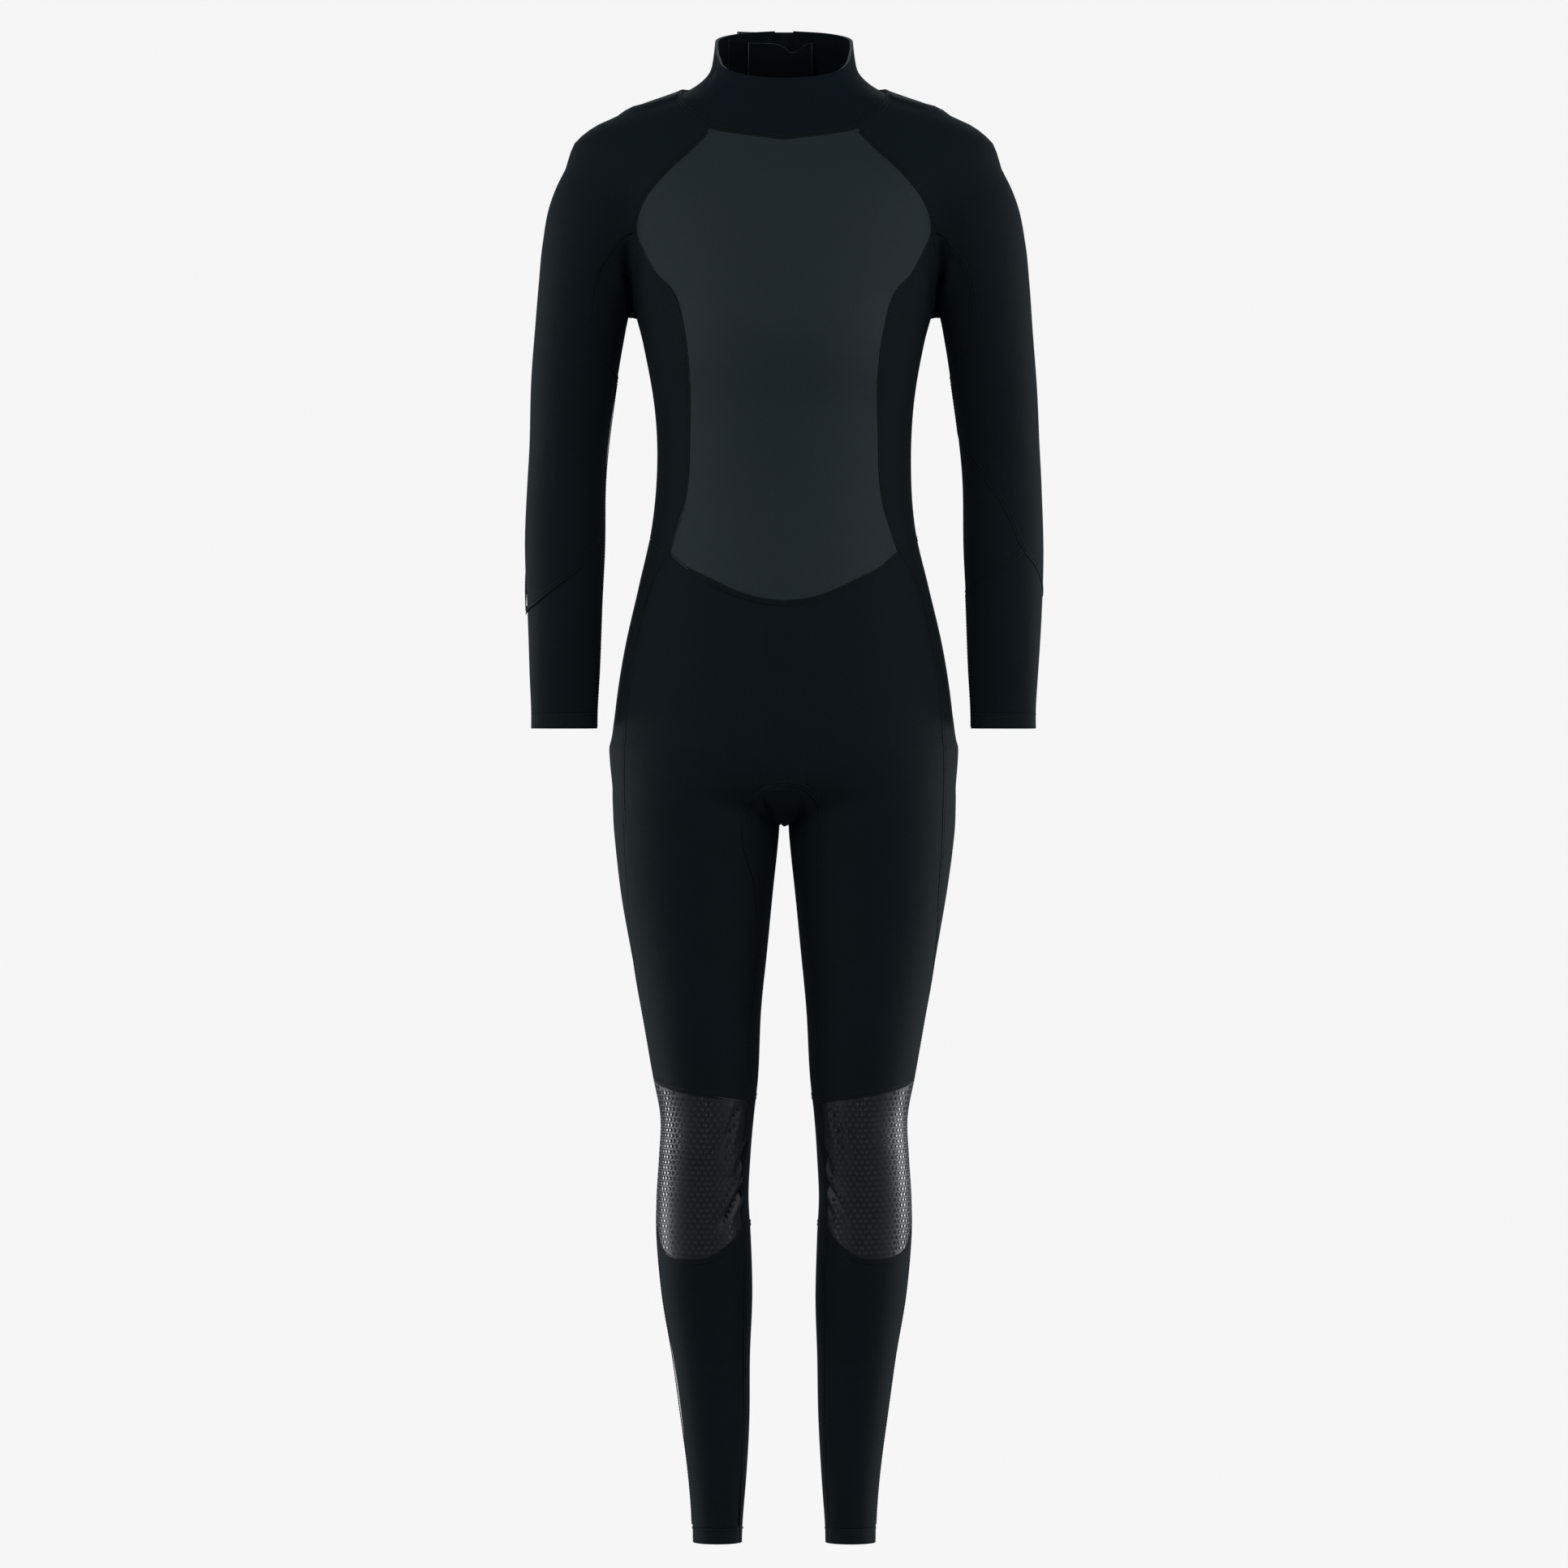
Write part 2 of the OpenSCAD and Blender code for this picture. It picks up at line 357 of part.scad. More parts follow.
// A piece laid on the back of the collar between two angles and two heights
module neck_patch(q0, q1, z0, z1, near, deep, n, tint, m = 2) suit() color(tint) sheet(
  [for (i = [0:m]) [for (j = [0:n]) girth(mix(q0, q1, j / n), mix(z0, z1, i / m))]], near, deep);
tab_q = [-152, -205];      // root and tip of the tab; 180 is the middle of the back
tab_z = [1401, 1443];
tab_lift = 2.65;           // height of the tab over the collar
module collar_tab() neck_patch(tab_q[0], tab_q[1], tab_z[0], tab_z[1], -tab_lift - sheet_t, -tab_lift, 8, black);
module collar_tab_base() neck_patch(-136, -147, tab_z[0], tab_z[1], -0.4 - sheet_t, -0.4, 3, black);
module hook_patch() neck_patch(-192, -203, 1406, 1438, -tab_lift + 0.1, -tab_lift + 0.1 + patch_t, 3, trim);
module loop_patch() neck_patch(-190, -222, 1404, 1440, -0.5 - patch_t, -0.5, 8, trim);
flap_deep = 6.8;           // depth of the guard flap's face under the suit's face
module zip_guard_flap() suit() color(black) sheet([for (z = [890, 1010, 1130, 1250, 1330, 1372, 1386, 1400, 1412, 1422, 1432])
  [for (x = [-38, -19, 0, 15, 30]) rear(x, z)]], flap_deep, flap_deep + 2.4);
module collar_zip_tape() suit() color(trim) sheet([for (z = [1392, 1400, 1412, 1422, 1437])
  [for (x = [-24, -14]) rear(x, z)]], 4.6, 5.6);

// ---- Back zip, drawn along its own straight line ----
module along_zip() suit() translate([0, back_y(zip_z), zip_z]) rotate([zip_tilt, 0, 0]) children();
tape_top = -3.95;         // the tapes lie just under the panels' inner faces
teeth_top = -0.7;
web_w = 1;                 // the slider's web runs in the slot between the rows of teeth
slot_w = 1.5;
teeth_w = 2.6;
teeth_z0 = 12;             // the teeth start above the bottom box
teeth_z1 = zip_len - 8;
module zip_tape(left) color(trim) along_zip() pair(left)
  translate([slot_w / 2 + 0.2, tape_top - 1, 0]) cube([tape_w, 1, zip_len]);
module zip_teeth(left) color(rubber) along_zip() pair(left) translate([0, tape_top, teeth_z0]) rotate([-90, 0, 0])
  mirror([0, 1, 0]) linear_extrude(teeth_top - tape_top) polygon(concat(
    [for (i = [0:floor((teeth_z1 - teeth_z0) / tooth_pitch) - 1]) let(z = i * tooth_pitch)
      each [[slot_w / 2, z], [slot_w / 2, z + tooth_pitch * 0.6], [slot_w / 2 + 1, z + tooth_pitch * 0.6],
        [slot_w / 2 + 1, z + tooth_pitch]]],
    [let(z = floor((teeth_z1 - teeth_z0) / tooth_pitch) * tooth_pitch) [slot_w / 2 + teeth_w, z],
      [slot_w / 2 + teeth_w, 0]]));
module zip_top_stops() color(rubber) along_zip() for (s = [0, 1]) mirror([s, 0, 0])
  translate([slot_w / 2, tape_top, teeth_z1 + 1]) cube([teeth_w, 2.2, 5]);
module zip_bottom_box() color(rubber) along_zip() difference() {
  translate([-4, tape_top - 1.8, 2]) cube([8, 4.6, 9.5]);
  for (s = [0, 1]) mirror([s, 0, 0]) translate([slot_w / 2 + 0.2 - 0.05, tape_top - 1.05, 1]) cube([6, 1.1, 12]);
}

// ---- Slider and pull tab ----
slider_z = zip_len - 26;   // middle of the slider when the zip is closed
plate_w = 11;
pin_y = 2.3;               // the tab turns on its crossbar in the slider's bridge
pin_z = slider_z - 2.6;
pin_r = 1;
tab_w = 10;
module plate(y, t) translate([0, y + t, slider_z]) rotate([90, 0, 0]) linear_extrude(t) hull() {
  translate([-plate_w / 2 + 2, -slider_len / 2 + 2]) circle(2, $fn = 32);
  translate([plate_w / 2 - 2, -slider_len / 2 + 2]) circle(2, $fn = 32);
  translate([-plate_w / 2 + 2.6, slider_len / 2 - 2]) circle(2, $fn = 32);
  translate([plate_w / 2 - 2.6, slider_len / 2 - 2]) circle(2, $fn = 32);
}
module zip_slider() color(rubber) along_zip() {
  plate(-0.4, 1.4);
  plate(-6.3, 1.3);
  translate([-web_w / 2, -5.2, slider_z + 3]) cube([web_w, 5.2, 6]);
  for (s = [-1, 1]) translate([s * 4.7 - 0.5, -2.8, slider_z - 8]) cube([1, 3, 15]);
  for (z = [slider_z - 5.2, slider_z + 4]) translate([-1.3, 0.8, z]) cube([2.6, 3.8, 1.2]);
  translate([-1.3, 3.6, slider_z - 5.2]) cube([2.6, 1, 10.4]);
}
module pull_tab() color(rubber) along_zip() {
  translate([-3.6, pin_y, pin_z]) rotate([0, 90, 0]) cylinder(h = 7.2, r = pin_r, $fn = 48);
  for (s = [-1, 1]) translate([s * 2.8 - 0.8, pin_y - 0.8, pin_z - 10.5]) cube([1.6, 1.6, 10.5]);
  difference() {
    translate([0, pin_y + 0.8, pin_z]) rotate([90, 0, 0]) linear_extrude(1.6) hull() {
      for (s = [-1, 1]) translate([s * (tab_w / 2 - 1.5), -11.2]) circle(1.5, $fn = 32);
      for (s = [-1, 1]) translate([s * (tab_w / 2 - 3), -7 - pull_len]) circle(3, $fn = 32);
    }
    translate([0, pin_y + 2, pin_z - 3.5 - pull_len]) rotate([90, 0, 0]) cylinder(h = 4, r = 2.2, $fn = 48);
  }
}

chest_panel();
side_panel(true);  // left_side_panel
side_panel(false);  // right_side_panel
back_panel(true);  // left_back_panel
back_panel(false);  // right_back_panel
front_lower_panel();
seat_panel();
crotch_gusset();
underarm_gusset(true);  // left_underarm_gusset
underarm_gusset(false);  // right_underarm_gusset
raglan_sleeve(true);  // left_raglan_sleeve
raglan_sleeve(false);  // right_raglan_sleeve
elbow_panel(true);  // left_elbow_panel
elbow_panel(false);  // right_elbow_panel
forearm_panel(true);  // left_forearm_panel
forearm_panel(false);  // right_forearm_panel
wrist_hem(true);  // left_wrist_hem
wrist_hem(false);  // right_wrist_hem
knee_pad(true);  // left_knee_pad
knee_pad(false);  // right_knee_pad
knee_back_panel(true);  // left_knee_back_panel
knee_back_panel(false);  // right_knee_back_panel
shin_panel(true);  // left_shin_panel
shin_panel(false);  // right_shin_panel
calf_panel(true);  // left_calf_panel
calf_panel(false);  // right_calf_panel
ankle_hem(true);  // left_ankle_hem
ankle_hem(false);  // right_ankle_hem
collar();
collar_tab();
collar_tab_base();
hook_patch();
loop_patch();
zip_guard_flap();
collar_zip_tape();
zip_tape(true);  // left_zip_tape
zip_tape(false);  // right_zip_tape
zip_teeth(true);  // left_zip_teeth
zip_teeth(false);  // right_zip_teeth
zip_top_stops();
zip_bottom_box();
zip_slider();
pull_tab();
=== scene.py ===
"""Full-length back-zip wetsuit: neoprene panels, seams, knee pads, collar and zip.

Lengths in the classes below are in millimetres and heights are counted from the ankle hems.
`Place` turns them into the row frame's metres.
"""

import json
import logging
import math
from dataclasses import dataclass, field
from enum import Enum
from typing import Sequence

import bmesh
import bpy
import numpy as np
from mathutils import Matrix, Vector

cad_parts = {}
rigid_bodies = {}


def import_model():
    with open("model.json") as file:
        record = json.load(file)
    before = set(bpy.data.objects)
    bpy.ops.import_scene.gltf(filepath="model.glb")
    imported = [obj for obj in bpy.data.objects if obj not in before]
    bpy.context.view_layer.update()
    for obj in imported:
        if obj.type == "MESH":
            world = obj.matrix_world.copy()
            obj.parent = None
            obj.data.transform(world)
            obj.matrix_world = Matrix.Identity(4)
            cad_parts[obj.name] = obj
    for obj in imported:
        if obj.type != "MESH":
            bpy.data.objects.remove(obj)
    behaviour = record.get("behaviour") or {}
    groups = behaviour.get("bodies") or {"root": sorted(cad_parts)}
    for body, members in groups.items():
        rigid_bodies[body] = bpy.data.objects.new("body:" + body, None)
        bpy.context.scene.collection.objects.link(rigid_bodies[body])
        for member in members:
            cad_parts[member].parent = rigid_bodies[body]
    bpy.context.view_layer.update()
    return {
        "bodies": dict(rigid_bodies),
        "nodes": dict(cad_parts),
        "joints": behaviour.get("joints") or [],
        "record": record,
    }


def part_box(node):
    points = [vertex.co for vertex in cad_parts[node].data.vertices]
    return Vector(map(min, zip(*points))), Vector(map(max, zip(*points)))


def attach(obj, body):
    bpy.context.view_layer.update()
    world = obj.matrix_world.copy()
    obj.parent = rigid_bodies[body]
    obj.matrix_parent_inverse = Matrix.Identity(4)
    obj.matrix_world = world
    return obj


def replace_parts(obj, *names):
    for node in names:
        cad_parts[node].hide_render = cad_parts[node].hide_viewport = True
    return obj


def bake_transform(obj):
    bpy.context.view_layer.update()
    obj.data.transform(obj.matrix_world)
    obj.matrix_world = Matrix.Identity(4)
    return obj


log = logging.getLogger("wetsuit")

Array = np.ndarray


class Side(Enum):
    """The wearer's side, with the sign of X that it is on."""

    LEFT = 1
    RIGHT = -1

    @property
    def word(self) -> str:
        """The word that the part's nodes use for this side."""
        return self.name.lower()


class Face(Enum):
    """Which face of the form a flat seam lies on."""

    FRONT = -1
    REAR = 1


# ---------------------------------------------------------------- the wearer's form


def stations(*rows: tuple[float, ...]) -> Array:
    """A table of stations, such as (height, value), as an array."""
    return np.array(rows, float)


def table(*rows: tuple[float, ...]) -> Array:
    """A dataclass field that holds a table of stations."""
    return field(default_factory=lambda: stations(*rows))


def along(rows: Array, z: Array) -> Array:
    """Smooth values of a station table at heights z.

    Args:
        rows: (height, value) rows in rising order.
        z: Heights of any shape.

    Returns:
        Values by a cubic through the stations, held flat beyond the ends.
    """
    heights, values = rows[:, 0], rows[:, 1]
    slopes = np.empty(len(rows))
    slopes[1:-1] = (values[2:] - values[:-2]) / (heights[2:] - heights[:-2])
    slopes[0] = (values[1] - values[0]) / (heights[1] - heights[0])
    slopes[-1] = (values[-1] - values[-2]) / (heights[-1] - heights[-2])
    q = np.clip(z, heights[0], heights[-1])
    i = np.clip(np.searchsorted(heights, q, side="right") - 1, 0, len(rows) - 2)
    h = heights[i + 1] - heights[i]
    s = (q - heights[i]) / h
    return (
        values[i] * (1 + s * s * (2 * s - 3))
        + values[i + 1] * s * s * (3 - 2 * s)
        + h * s * (1 - s) * (slopes[i] * (1 - s) - slopes[i + 1] * s)
    )


def at_station(edge: Array, i: Array) -> tuple[Array, Array]:
    """Place of an edge at station i.

    Args:
        edge: Rows of (distance, height), one for each whole number.
        i: Stations of any shape.

    Returns:
        The distances and the heights.
    """
    n = np.arange(len(edge), dtype=float)
    return along(np.stack([n, edge[:, 0]], 1), i), along(np.stack([n, edge[:, 1]], 1), i)


def mix(a: Array, b: Array, s: Array) -> Array:
    """Straight blend of a and b."""
    return a + (b - a) * s


def stack(x: Array, y: Array, z: Array) -> Array:
    """Points from coordinates that broadcast together."""
    return np.stack(np.broadcast_arrays(x, y, z), axis=-1).astype(float)


def unit(v: Array) -> Array:
    """Vectors of length one."""
    return v / np.maximum(np.linalg.norm(v, axis=-1, keepdims=True), 1e-9)


@dataclass
class Form:
    """The shape that the wearer's body gives the suit, as a distance field.

    Each table gives a half width, depth or centre line by height.
    """

    zip_low: float = 884.0
    zip_depth: float = 103.8
    zip_tilt: float = 2.79
    torso_width: Array = table(
        (690, 60), (705, 110), (725, 146), (757, 163), (795, 161), (854, 152), (912, 139), (970, 126),
        (1028, 121.5), (1086, 124), (1145, 134), (1183, 144), (1225, 153), (1265, 164), (1295, 184),
        (1318, 203), (1335, 200.5), (1346, 190), (1356, 175), (1366, 153), (1375, 126), (1387, 93), (1400, 75),
        (1412, 69), (1460, 64)
    )
    torso_front: Array = table(
        (690, 12), (697, 50), (708, 76), (725, 94), (757, 103), (820, 104), (900, 99), (960, 93), (1010, 92),
        (1080, 100), (1130, 114), (1165, 118), (1205, 112), (1260, 101), (1300, 89), (1340, 73), (1370, 64),
        (1400, 60), (1460, 60)
    )
    arm_centre: Array = table(
        (770, 209.5), (795, 209.5), (892, 210), (950, 209.5), (1009, 208.5), (1048, 206), (1106, 201),
        (1164, 194), (1203, 188), (1240, 181), (1280, 170), (1320, 150), (1345, 130)
    )
    arm_width: Array = table(
        (770, 31.5), (795, 31.5), (834, 33.5), (892, 36), (950, 38.3), (1009, 37.5), (1048, 38), (1106, 41),
        (1164, 43.5), (1203, 46.5), (1240, 50), (1280, 53), (1310, 53), (1330, 48), (1345, 30)
    )
    arm_depth: Array = table(
        (770, 23), (800, 24), (850, 31), (900, 38), (950, 43), (1009, 44), (1060, 47), (1120, 51), (1180, 55),
        (1240, 58), (1290, 54), (1320, 44), (1345, 22)
    )
    arm_offset: Array = table(
        (770, -16), (850, -10), (950, 0), (1020, 6), (1100, 6), (1200, 2), (1300, 0), (1345, 0)
    )
    leg_centre: Array = table(
        (0, 63.5), (58, 63.5), (116, 65.5), (175, 69), (233, 73), (291, 76.5), (330, 77.5), (369, 75.5),
        (407, 73.5), (446, 75), (504, 78.5), (563, 81), (621, 83.5), (679, 84), (720, 84), (760, 82)
    )
    leg_width: Array = table(
        (0, 23.8), (20, 24.5), (58, 27.5), (116, 32.5), (175, 37), (233, 43), (291, 44.5), (330, 43.5),
        (369, 43.5), (407, 44.5), (446, 50), (504, 56.5), (563, 65), (621, 72.5), (679, 79), (700, 80),
        (725, 80), (760, 74)
    )
    leg_depth: Array = table(
        (0, 35), (58, 37), (116, 41), (175, 47), (233, 53), (280, 56), (330, 54), (375, 54), (430, 60),
        (504, 70), (563, 78), (621, 86), (679, 95), (720, 100), (760, 96)
    )
    leg_offset: Array = table(
        (0, 4), (58, 6), (116, 9), (200, 12), (280, 8), (340, 0), (380, -4), (450, -2), (560, 2), (640, 6),
        (720, 9), (760, 9)
    )
    torso_power: float = 2.15
    leg_power: float = 2.1
    crotch_fillet: float = 28.0
    arm_fillet: Array = table((1176, 1), (1200, 10), (1240, 30), (1290, 22), (1330, 8))
    torso_back: Array = field(init=False)

    def __post_init__(self) -> None:
        """Works out the back's stations, straight along the zip."""
        straight = [(z, self.back_y(z)) for z in (880, 960, 1040, 1120, 1200, 1280, 1340, 1372)]
        self.torso_back = stations(
            (690, 12), (697, 54), (708, 84), (725, 106), (757, 120), (800, 123), (850, 114),
            *straight, (1400, 69), (1420, 61), (1460, 56),
        )

    def back_y(self, z: Array) -> Array:
        """Depth of the straight zip line at height z."""
        return self.zip_depth - math.tan(math.radians(self.zip_tilt)) * (z - self.zip_low)

    @staticmethod
    def _oval(x: Array, y: Array, a: Array, b: Array, n: float) -> Array:
        """Near distance outside a rounded section with half axes a and b."""
        u = np.maximum(np.abs(x) / a, 1e-3)
        v = np.maximum(np.abs(y) / b, 1e-3)
        k = (u**n + v**n) ** (1 / n)
        return (k - 1) * k ** (n - 1) / np.hypot(u ** (n - 1) / a, v ** (n - 1) / b)

    @staticmethod
    def _weld(a: Array, b: Array, k: Array) -> Array:
        """Union of two distances with a fillet of about k."""
        h = np.maximum(k - np.abs(a - b), 0) / k
        return np.minimum(a, b) - h * h * k / 4

    def distance(self, p: Array) -> Array:
        """Distance outside the form at points p, close enough near its face."""
        x, y, z = np.abs(p[..., 0]), p[..., 1], p[..., 2]
        depth = np.where(y < 0, along(self.torso_front, z), along(self.torso_back, z))
        torso = self._oval(x, y, along(self.torso_width, z), depth, self.torso_power)
        torso = np.where(z < 690, 750 - z, torso)
        arm = self._oval(
            x - along(self.arm_centre, z), y - along(self.arm_offset, z),
            along(self.arm_width, z), along(self.arm_depth, z), 2,
        ) + np.maximum(1.5 * (z - 1345), np.maximum(765 - z, 0))
        leg = self._oval(
            x - along(self.leg_centre, z), y - along(self.leg_offset, z),
            along(self.leg_width, z), along(self.leg_depth, z), self.leg_power,
        ) + np.maximum(1.2 * (z - 760), 0)
        fillet = np.interp(z, self.arm_fillet[:, 0], self.arm_fillet[:, 1])
        body = np.where((z > 740) & (x > 90), self._weld(torso, arm, fillet), torso)
        return np.where(z < 800, self._weld(body, leg, self.crotch_fillet), body)

    def normal(self, p: Array) -> Array:
        """Outward directions of the face at points p."""
        step = 0.4
        sides = []
        for axis in np.eye(3) * step:
            sides.append(self.distance(p + axis) - self.distance(p - axis))
        return unit(np.stack(sides, axis=-1))

    def settle(self, p: Array, steps: int = 5) -> Array:
        """Points moved onto the form's face by the shortest way."""
        for _ in range(steps):
            p = p - self.normal(p) * np.clip(self.distance(p), -6, 6)[..., None]
        return p

    def cast(self, origin: Array, direction: Array, far: float = 150.0) -> Array:
        """First points of the face from inside points along directions, by halving."""
        low = np.zeros(origin.shape[:-1])
        high = np.full(origin.shape[:-1], far)
        for _ in range(17):
            middle = (low + high) / 2
            inside = self.distance(origin + direction * middle[..., None]) < 0
            low, high = np.where(inside, middle, low), np.where(inside, high, middle)
        return origin + direction * ((low + high) / 2)[..., None]

    def face(self, x: Array, z: Array, face: Face) -> Array:
        """Points of the front or rear face at (x, z)."""
        x, z = np.broadcast_arrays(x, z)
        return self.cast(stack(x, 0.0, z), stack(0 * x, float(face.value), 0.0))

    def _section(self, direction: Array, a: Array, b: Array, n: float, x: Array, y: Array, z: Array) -> Array:
        """Points of one limb's own rounded section, moved onto the whole form's face."""
        u, v = np.abs(direction[..., 0]) / a, np.abs(direction[..., 1]) / b
        far = (u**n + v**n) ** (-1 / n)
        return self.settle(stack(x, y, z) + direction * far[..., None], 7)

    def girth(self, q: Array, z: Array) -> Array:
        """Round the torso: 0 is the front and 90 the wearer's left."""
        q, z = np.broadcast_arrays(np.radians(q), np.asarray(z, float))
        direction = stack(np.sin(q), -np.cos(q), 0.0)
        depth = np.where(direction[..., 1] < 0, along(self.torso_front, z), along(self.torso_back, z))
        return self._section(direction, along(self.torso_width, z), depth, self.torso_power, 0 * z, 0 * z, z)

    def arm(self, q: Array, z: Array) -> Array:
        """Round the left arm: 0 is outwards, 90 the front and 180 inwards."""
        q, z = np.broadcast_arrays(np.radians(q), np.asarray(z, float))
        return self._section(
            stack(np.cos(q), -np.sin(q), 0.0), along(self.arm_width, z), along(self.arm_depth, z), 2.0,
            along(self.arm_centre, z), along(self.arm_offset, z), z,
        )

    def leg(self, q: Array, z: Array) -> Array:
        """Round the left leg: 0 is outwards, 90 the front and 180 inwards."""
        q, z = np.broadcast_arrays(np.radians(q), np.asarray(z, float))
        return self._section(
            stack(np.cos(q), -np.sin(q), 0.0), along(self.leg_width, z), along(self.leg_depth, z), self.leg_power,
            along(self.leg_centre, z), along(self.leg_offset, z), z,
        )

    @staticmethod
    def turn(p: Array) -> Array:
        """Angle of points round the torso."""
        return np.degrees(np.arctan2(p[..., 0], -p[..., 1]))

    def arm_turn(self, p: Array) -> Array:
        """Angle of points round the left arm."""
        z = p[..., 2]
        return np.degrees(np.arctan2(along(self.arm_offset, z) - p[..., 1], p[..., 0] - along(self.arm_centre, z)))

    def leg_turn(self, p: Array) -> Array:
        """Angle of points round the left leg."""
        z = p[..., 2]
        return np.degrees(np.arctan2(along(self.leg_offset, z) - p[..., 1], p[..., 0] - along(self.leg_centre, z)))


# ---------------------------------------------------------------- pattern pieces on the form


def ring_angles(n: int) -> Array:
    """Angles once round a limb, from its inner seam forwards to the seam again."""
    return np.linspace(180.0, -180.0, n)


def bow(front: Array, middle: Array, rear: Array, t: Array) -> Array:
    """Points on a bow from front to rear that passes through middle half way."""
    t = t[..., None]
    return front * (1 - t) ** 2 + (2 * middle - (front + rear) / 2) * 2 * t * (1 - t) + rear * t * t


def pin(row: Array, first: Array, last: Array, s: Array) -> Array:
    """A row moved so that it starts at first and ends at last."""
    s = s[:, None]
    return row + (first - row[0]) * (1 - s) + (last - row[-1]) * s


def count(length: float, cell: float) -> int:
    """Number of grid lines for a length."""
    return max(3, int(round(length / cell)) + 1)


def fine_edges(n: int) -> Array:
    """Shares 0 to 1 with two more lines close to each end, for the dip beside a seam."""
    s = np.linspace(0, 1, n)
    h = s[1]
    return np.concatenate([[0, h * 0.3, h * 0.66], s[1:-1], [1 - h * 0.66, 1 - h * 0.3, 1]])


@dataclass
class Pattern:
    """The suit's seams, and the panels between them as grids of points on the form.

    The seam tables hold distances from the middle, or angles round a limb, with heights.
    """

    form: Form
    cell: float = 4.6
    chest_edge: Array = table(
        (110, 945), (94, 1000), (91, 1064), (91, 1116), (97, 1160), (106, 1190), (122, 1208), (135, 1234),
        (143, 1250), (139, 1270), (130, 1287), (112, 1308), (90, 1328), (68, 1350)
    )
    back_edge: Array = table(
        (116, 950), (112, 1000), (113, 1064), (116, 1116), (120, 1160), (124, 1190), (130, 1208), (137, 1234),
        (143, 1250), (139, 1275), (129, 1301), (110, 1328), (89, 1356), (60, 1388)
    )
    side_dip: Array = table((0, -12), (1, -4), (2, 6), (3, 18), (4, 34), (5, 46), (6, 56), (7, 72), (8, 82))
    chest_hem: Array = table((0, 897), (22, 899), (48, 907), (75, 920), (92, 929), (110, 945))
    back_hem: Array = table((9, 884), (30, 889), (60, 905), (88, 926), (116, 950))
    hip_seam: Array = table(
        (621, 148), (659, 151), (693, 152), (733, 153), (773, 152), (822, 147), (876, 138), (917, 127),
        (945, 112)
    )
    gusset_seam: Array = table(
        (426, 40), (455, 37), (500, 31), (545, 26), (590, 25), (621, 26), (640, 29), (662, 36), (686, 38),
        (706, 34.5), (716, 28), (722, 20)
    )
    collar_seam: Array = table(
        (0, 1339), (33, 1345), (47, 1350), (52, 1358), (63, 1370), (75, 1381), (90, 1385), (110, 1387),
        (180, 1390)
    )
    collar_rim: Array = table(
        (0, 1396), (25, 1398), (46, 1403), (64, 1412), (76, 1424), (90, 1434), (135, 1445), (180, 1449)
    )
    pad_top: Array = table((4, 446), (40, 439), (90, 430), (140, 423))
    pad_base: Array = table((4, 317), (16, 296), (40, 277), (90, 271), (115, 284), (140, 303))
    underarm: Array = table((0, 118, 1249), (1, 106, 1222), (2, 100, 1190), (3, 114, 1140), (4, 180, 1108))
    upper_left: Array = table(
        (-180, 1067), (-120, 1027), (-90, 995), (-64, 949), (-40, 935), (0, 905), (40, 935), (64, 949),
        (90, 995), (120, 1027), (180, 1067)
    )
    lower_left: Array = table(
        (-180, 905), (-108, 926), (-81, 938), (-64, 949), (-40, 935), (0, 905), (40, 935), (64, 949), (81, 938),
        (108, 926), (180, 905)
    )
    upper_right: Array = table(
        (-180, 974), (-135, 1030), (-90, 1067), (-45, 985), (0, 889), (45, 899), (75, 913), (100, 926),
        (120, 940), (140, 956), (180, 974)
    )
    lower_right: Array = table(
        (-180, 974), (-135, 950), (-90, 925), (-45, 900), (0, 889), (45, 899), (75, 913), (100, 926),
        (120, 940), (140, 956), (180, 974)
    )
    fan_lean: Array = table((0, 0), (1, 10), (2, 24), (3, 38), (4, 48), (5, 52))
    zip_half: float = 9.0
    gusset_top: float = 722.0
    gusset_half: float = 20.0
    hip_low: float = 621.0
    thigh_low: float = 480.0
    sleeve_ring: float = 1108.0
    wrist: float = 778.0
    hem: float = 15.0
    collar_end: float = 171.0
    tip: float = 0.8

    # ---- curves by index, shared by neighbouring panels

    def arch(self, x: Array) -> Array:
        """Height of the crotch gusset's top edge in front and behind."""
        return self.gusset_top + 4 * (1 - (np.clip(np.abs(x), 0, self.gusset_half) / self.gusset_half) ** 2)

    def gusset_angle(self, z: Array, face: Face) -> Array:
        """Angle round the leg of the gusset's front or rear seam."""
        return self.form.leg_turn(self.form.face(along(self.gusset_seam, z), z, face))

    def hip_angle(self, z: Array) -> Array:
        """Angle round the leg of the seam down the outside of hip and thigh."""
        high = self.form.leg_turn(self.form.face(along(self.hip_seam, z), z, Face.FRONT))
        start = self.form.leg_turn(self.form.face(np.array(148.0), np.array(self.hip_low), Face.FRONT))
        low = mix(start, 4.0, np.clip((self.hip_low - z) / 100, 0, 1))
        return np.where(z > self.hip_low, high, low)

    @staticmethod
    def knee_back_top(q: Array) -> Array:
        """Upper edge of the panel behind the knee, for angles 4 back to -220."""
        return mix(446.0, 423.0, (4 - q) / 224)

    @staticmethod
    def knee_back_base(q: Array) -> Array:
        """Lower edge of the panel behind the knee, for angles 4 back to -220."""
        return mix(317.0, 303.0, (4 - q) / 224)

